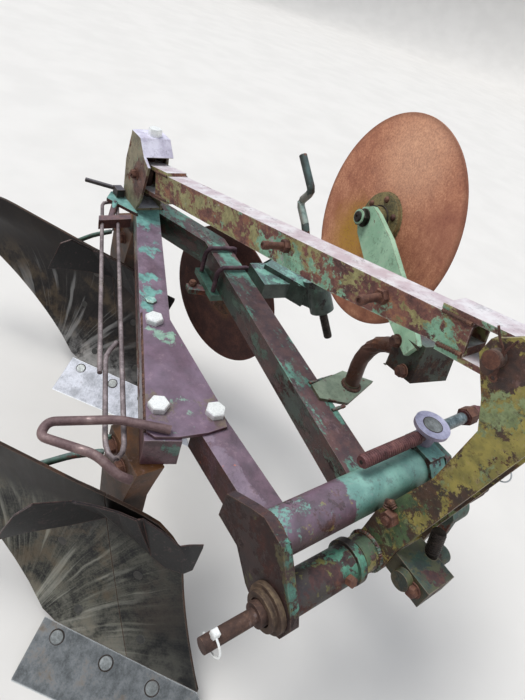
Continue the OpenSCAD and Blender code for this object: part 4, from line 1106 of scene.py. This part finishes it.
def coulter_fasteners():
    for name, disc, side, slot in (("front", FRONT_DISC, -1, "disc_rust"),
                                   ("rear", REAR_DISC, 1, "disc_dark")):
        out, across, axle = [disc.col[i].to_3d() for i in range(3)]
        centre, axle, body = disc.translation, axle * side, name + "_disc"
        rivets = Piece(name + "_hub_rivets", "rust", slot, body)
        for k in range(6):
            a = 2 * math.pi * k / 6 + 0.4
            reach = (out * math.cos(a) + across * math.sin(a)) * 0.051
            rivets.dome(centre + reach + axle * 0.014, axle, 0.0078, 0.0062)
            rivets.dome(centre + reach - axle * 0.0025, -axle, 0.0085, 0.005)
        rivets.done()
        seal = Piece(name + "_hub_rings", "black", "disc_dark", body)
        for height, radius in ((0.0145, 0.0345), (0.034, 0.0305)):
            seal.tube([p + axle * height for p in circle(centre, axle, radius)], 0.0018, 8)
        seal.done()
        nut = Piece(name + "_axle_nut", "black")
        seat = centre + axle * 0.0543
        nut.lathe(seat, axle, [(0.0205, 0), (0.0210, 0.0005), (0.0210, 0.0030), (0.0205, 0.0035)], 28)
        nut.hexagon(seat + axle * 0.0034, axle, 0.0365, 0.0115, 0.4)
        nut.lathe(seat + axle * 0.0170, axle,
                  [(0.0125, 0), (0.0125, 0.0035), (0.0105, 0.005), (0.004, 0.005), (0.004, 0.003)], 24)
        nut.done()
    bolts = Piece("clamp_bolts", "rust")
    for x in (-958, -852):
        for across in (-44.8, 44.8):
            bolts.hexagon(on_diagonal(x, across, 575), DOWN, 0.022, 0.012, 0.2, washer=0.014, stud=0.014)
    bolts.lathe(at(-924, 0, 574), UP, [(0.0095, 0), (0.0095, 0.020), (0.0075, 0.022)], 18)
    bolts.hexagon(at(-924, 0, 581), UP, 0.022, 0.010, 0.4)
    stub = Piece("clamp_bar_end", "green_weld", "green_paint")
    corners = [at(-940, -14, 562), at(-906, -22, 562), at(-872, 62, 562), at(-906, 70, 562)]
    stub.slab(corners, UP, 0.016, 0.003)
    stub.done()
    turn = Matrix.Rotation(math.radians(-12.7), 3, "Z") @ Matrix.Rotation(math.radians(-14), 3, "Y")
    for x, z in ((-22, 4), (20, -44)):
        seat = at(-226, 108, 898) + turn @ (Vector((x, -38, z)) * MM)
        bolts.hexagon(seat, turn @ RIGHT, 0.022, 0.012, 0.3, washer=0.015, round_top=True)
    bolts.done()


def welds():
    r = look().weld
    seam, plate_foot = FRAME_TOP + 0.5, FRAME_TOP + 1.5
    red = Piece("frame_welds", "weld")
    red.bead([on_main(398, -31.2, seam), on_main(20, -33.6, seam)], r, 1)
    red.bead([on_main(400, -30, seam), on_main(382, 32, seam)], r, 2)
    red.bead(circle(at(-78, -304.6, 683), LEFT, 0.0445, 60), r, 3)
    red.bead([at(-1316, -80, 672), at(-1222, -80, 672)], r, 4)
    red.bead([at(-1314, 22, 672), at(-1222, 22, 672)], r, 5)
    red.bead(circle(at(-330, 118, 679), UP, 0.0205, 40), r * 1.2, 6)
    red.bead([at(-18, -86, 722), at(-22, -86, 735), at(-14, -87, 742), at(-6, -86, 738)], r * 1.6, 7)
    red.done()
    green = Piece("tube_welds", "green_weld", "green_paint")
    foot = [at(*place) for place in ((-98, -74, 640), (-112, -74, 656), (-121, -70, 671), (-121, 9, 671),
                                     (-112, 12, 656), (-98, 14, 640))]
    green.bead(rounded(foot, 0.01), r * 1.25, 8)
    green.bead(circle(at(0, -86, SHAFT_HEIGHT), LEFT, 0.039, 60), r * 1.1, 9)
    green.bead(circle(at(-78, 127.3, 683), LEFT, 0.0445, 60), r, 10)
    green.bead([at(-376, 19, plate_foot), at(-376, 100, plate_foot)], r, 11)
    green.bead([at(-284, 19, plate_foot), at(-284, 60, plate_foot)], r, 12)
    green.done()
    pale = Piece("brace_welds", "weld")
    for y in (-51.5, 10.5):
        for rear, rear_height, front, front_height, size, seed in (
                (2, 34, 78, 34, 0.9, 13), (2, -36, 78, -36, 0.9, 14),
                (1062, -20, 1110, -18, 0.9, 15), (1054, 36, 1110, 36, 0.8, 16)):
            pale.bead([on_brace(rear, y, rear_height), on_brace(front, y, front_height)], r * size, seed)
    pale.done()


# Stage

CAMERA_PLACE = (194.5, -759.4, 1468.5)
CAMERA_AZIMUTH, CAMERA_DIP, CAMERA_ROLL = [math.radians(a) for a in (134.1909, -38.0791, 19.6806)]
PICTURE_LONG_SIDE = 700
FOCAL_PIXELS = 513.2683
SENSOR = 24.0


def set_camera():
    """Puts the camera at the photograph's viewing angle."""
    level = math.cos(CAMERA_DIP)
    ahead = Vector((level * math.cos(CAMERA_AZIMUTH), level * math.sin(CAMERA_AZIMUTH),
                    math.sin(CAMERA_DIP)))
    right = ahead.cross(UP).normalized()
    top = right.cross(ahead)
    turned = right * math.cos(CAMERA_ROLL) + top * math.sin(CAMERA_ROLL)
    upright = top * math.cos(CAMERA_ROLL) - right * math.sin(CAMERA_ROLL)
    data = bpy.data.cameras.new("Camera")
    data.sensor_fit, data.sensor_width = "AUTO", SENSOR
    data.lens = FOCAL_PIXELS / PICTURE_LONG_SIDE * SENSOR
    camera = bpy.data.objects.new("Camera", data)
    view = Matrix((turned, upright, -ahead)).transposed().to_4x4()
    camera.matrix_world = Matrix.Translation(at(*CAMERA_PLACE)) @ view
    bpy.context.scene.collection.objects.link(camera)
    bpy.context.scene.camera = camera


def set_floor(reach, rise):
    """A round studio floor whose rim curves up into a low wall, all in one pale tone."""
    bend, steps, sides = 2.0, 12, 96
    profile = [(reach * share, 0.0) for share in (0.02, 0.25, 0.6, 1.0)]
    for step in range(1, steps + 1):
        a = math.pi / 2 * step / steps
        profile.append((reach + bend * math.sin(a), bend * (1 - math.cos(a))))
    profile.append((reach + bend, bend + rise))
    verts = [(r * math.cos(2 * math.pi * k / sides), r * math.sin(2 * math.pi * k / sides), h)
             for r, h in profile for k in range(sides)]
    mesh = bpy.data.meshes.new("studio_floor")
    mesh.from_pydata(verts, [], ring_faces(len(profile), sides))
    for face in mesh.polygons:
        face.use_smooth = True
    net = Net("Studio floor")
    tone = net.between(net.noise(3, 4, 0.5, 80).steps(0.3, 0.7), "#d9d7d4", "#d4d2cf")
    mesh.materials.append(net.finish(tone, 0.9, 0.0, net.noise(60, 3, 0.5, 81), 0.02, 0.001))
    floor = bpy.data.objects.new("studio_floor", mesh)
    bpy.context.scene.collection.objects.link(floor)


def set_light(sky, sun, softness):
    """An even sky and a soft key light."""
    world = bpy.data.worlds.new("Soft sky")
    world.use_nodes = True
    back = world.node_tree.nodes["Background"]
    back.inputs["Color"].default_value = (0.9, 0.95, 1.03, 1.0)
    back.inputs["Strength"].default_value = sky
    bpy.context.scene.world = world
    data = bpy.data.lights.new("Key light", "SUN")
    data.energy, data.angle, data.color = sun, softness, (1.0, 0.985, 0.96)
    key = bpy.data.objects.new("Key light", data)
    key.rotation_euler = Vector((-0.35, -0.30, 1.0)).to_track_quat("Z", "Y").to_euler()
    bpy.context.scene.collection.objects.link(key)
    bpy.context.scene.view_settings.view_transform = "Standard"


# Operators and panel


class PLOUGH_OT_frame_finish(bpy.types.Operator):
    """Paints the beams, plates and the top brace"""

    bl_idname, bl_label = "plough.frame_finish", "Finish Frame"

    def execute(self, context):
        frame_finishes()
        return {"FINISHED"}


class PLOUGH_OT_hitch_finish(bpy.types.Operator):
    """Paints the mast, shaft, sleeves, pins and adjusting screws"""

    bl_idname, bl_label = "plough.hitch_finish", "Finish Hitch"

    def execute(self, context):
        hitch_finishes()
        return {"FINISHED"}


class PLOUGH_OT_body_finish(bpy.types.Operator):
    """Gives shares, mouldboards, legs and trash boards their steel and paint"""

    bl_idname, bl_label = "plough.body_finish", "Finish Bodies"

    def execute(self, context):
        body_finishes()
        return {"FINISHED"}


class PLOUGH_OT_coulter_finish(bpy.types.Operator):
    """Gives the disc coulters, their arms and clamps their finish"""

    bl_idname, bl_label = "plough.coulter_finish", "Finish Coulters"

    def execute(self, context):
        coulter_finishes()
        return {"FINISHED"}


class PLOUGH_OT_frame_bolts(bpy.types.Operator):
    """Adds the large frame bolts and the bolts of the rear bracket"""

    bl_idname, bl_label = "plough.frame_bolts", "Add Frame Bolts"

    def execute(self, context):
        frame_bolts()
        return {"FINISHED"}


class PLOUGH_OT_brace_fasteners(bpy.types.Operator):
    """Adds the studs of the top brace and the bolts of the mast"""

    bl_idname, bl_label = "plough.brace_fasteners", "Add Brace and Mast Bolts"

    def execute(self, context):
        brace_fasteners()
        return {"FINISHED"}


class PLOUGH_OT_linchpins(bpy.types.Operator):
    """Adds the linchpins of the lower link pins"""

    bl_idname, bl_label = "plough.linchpins", "Add Linchpins"

    def execute(self, context):
        linchpins()
        return {"FINISHED"}


class PLOUGH_OT_hand_loop(bpy.types.Operator):
    """Adds the hand loop's bent bar"""

    bl_idname, bl_label = "plough.hand_loop", "Add Hand Loop"

    def execute(self, context):
        hand_loop_bar()
        return {"FINISHED"}


class PLOUGH_OT_screws(bpy.types.Operator):
    """Adds the threads, nuts and pin ends of the adjusting screws"""

    bl_idname, bl_label = "plough.screws", "Add Screw Threads"

    def execute(self, context):
        screws()
        return {"FINISHED"}


class PLOUGH_OT_body_bolts(bpy.types.Operator):
    """Adds the plough bolts of shares, mouldboards, landsides and legs"""

    bl_idname, bl_label = "plough.body_bolts", "Add Plough Bolts"

    def execute(self, context):
        body_bolts()
        return {"FINISHED"}


class PLOUGH_OT_coulter_fasteners(bpy.types.Operator):
    """Adds hub rivets, axle nuts and clamp bolts of the coulters"""

    bl_idname, bl_label = "plough.coulter_fasteners", "Add Coulter Fasteners"

    def execute(self, context):
        coulter_fasteners()
        return {"FINISHED"}


class PLOUGH_OT_welds(bpy.types.Operator):
    """Adds the weld beads of the frame"""

    bl_idname, bl_label = "plough.welds", "Add Welds"

    def execute(self, context):
        welds()
        return {"FINISHED"}


class PLOUGH_OT_stage(bpy.types.Operator):
    """Sets the floor, the light and the camera"""

    bl_idname, bl_label = "plough.stage", "Set Stage"

    def execute(self, context):
        stage = context.scene.plough_stage
        set_floor(stage.floor, stage.wall)
        set_light(stage.sky, stage.sun, stage.softness)
        set_camera()
        return {"FINISHED"}


STEPS = (PLOUGH_OT_frame_finish, PLOUGH_OT_hitch_finish, PLOUGH_OT_body_finish, PLOUGH_OT_coulter_finish,
         PLOUGH_OT_frame_bolts, PLOUGH_OT_brace_fasteners, PLOUGH_OT_linchpins, PLOUGH_OT_hand_loop,
         PLOUGH_OT_screws, PLOUGH_OT_body_bolts, PLOUGH_OT_coulter_fasteners, PLOUGH_OT_welds,
         PLOUGH_OT_stage)


class PLOUGH_PT_panel(bpy.types.Panel):
    """The plough's settings and steps in the 3D view's sidebar"""

    bl_idname, bl_label = "PLOUGH_PT_panel", "Mouldboard Plough"
    bl_space_type, bl_region_type, bl_category = "VIEW_3D", "UI", "Plough"

    def draw(self, context):
        for group in (context.scene.plough_look, context.scene.plough_stage):
            box = self.layout.box()
            for name in group.__annotations__:
                box.prop(group, name)
        for step in STEPS:
            self.layout.operator(step.bl_idname)


CLASSES = (PloughLook, StageLook) + STEPS + (PLOUGH_PT_panel,)


def register():
    for item in CLASSES:
        bpy.utils.register_class(item)
    bpy.types.Scene.plough_look = bpy.props.PointerProperty(type=PloughLook)
    bpy.types.Scene.plough_stage = bpy.props.PointerProperty(type=StageLook)


def unregister():
    del bpy.types.Scene.plough_look
    del bpy.types.Scene.plough_stage
    for item in reversed(CLASSES):
        bpy.utils.unregister_class(item)


def main():
    register()
    for step in STEPS:
        getattr(bpy.ops.plough, step.bl_idname.split(".")[1])()


if __name__ == "__main__":
    main()
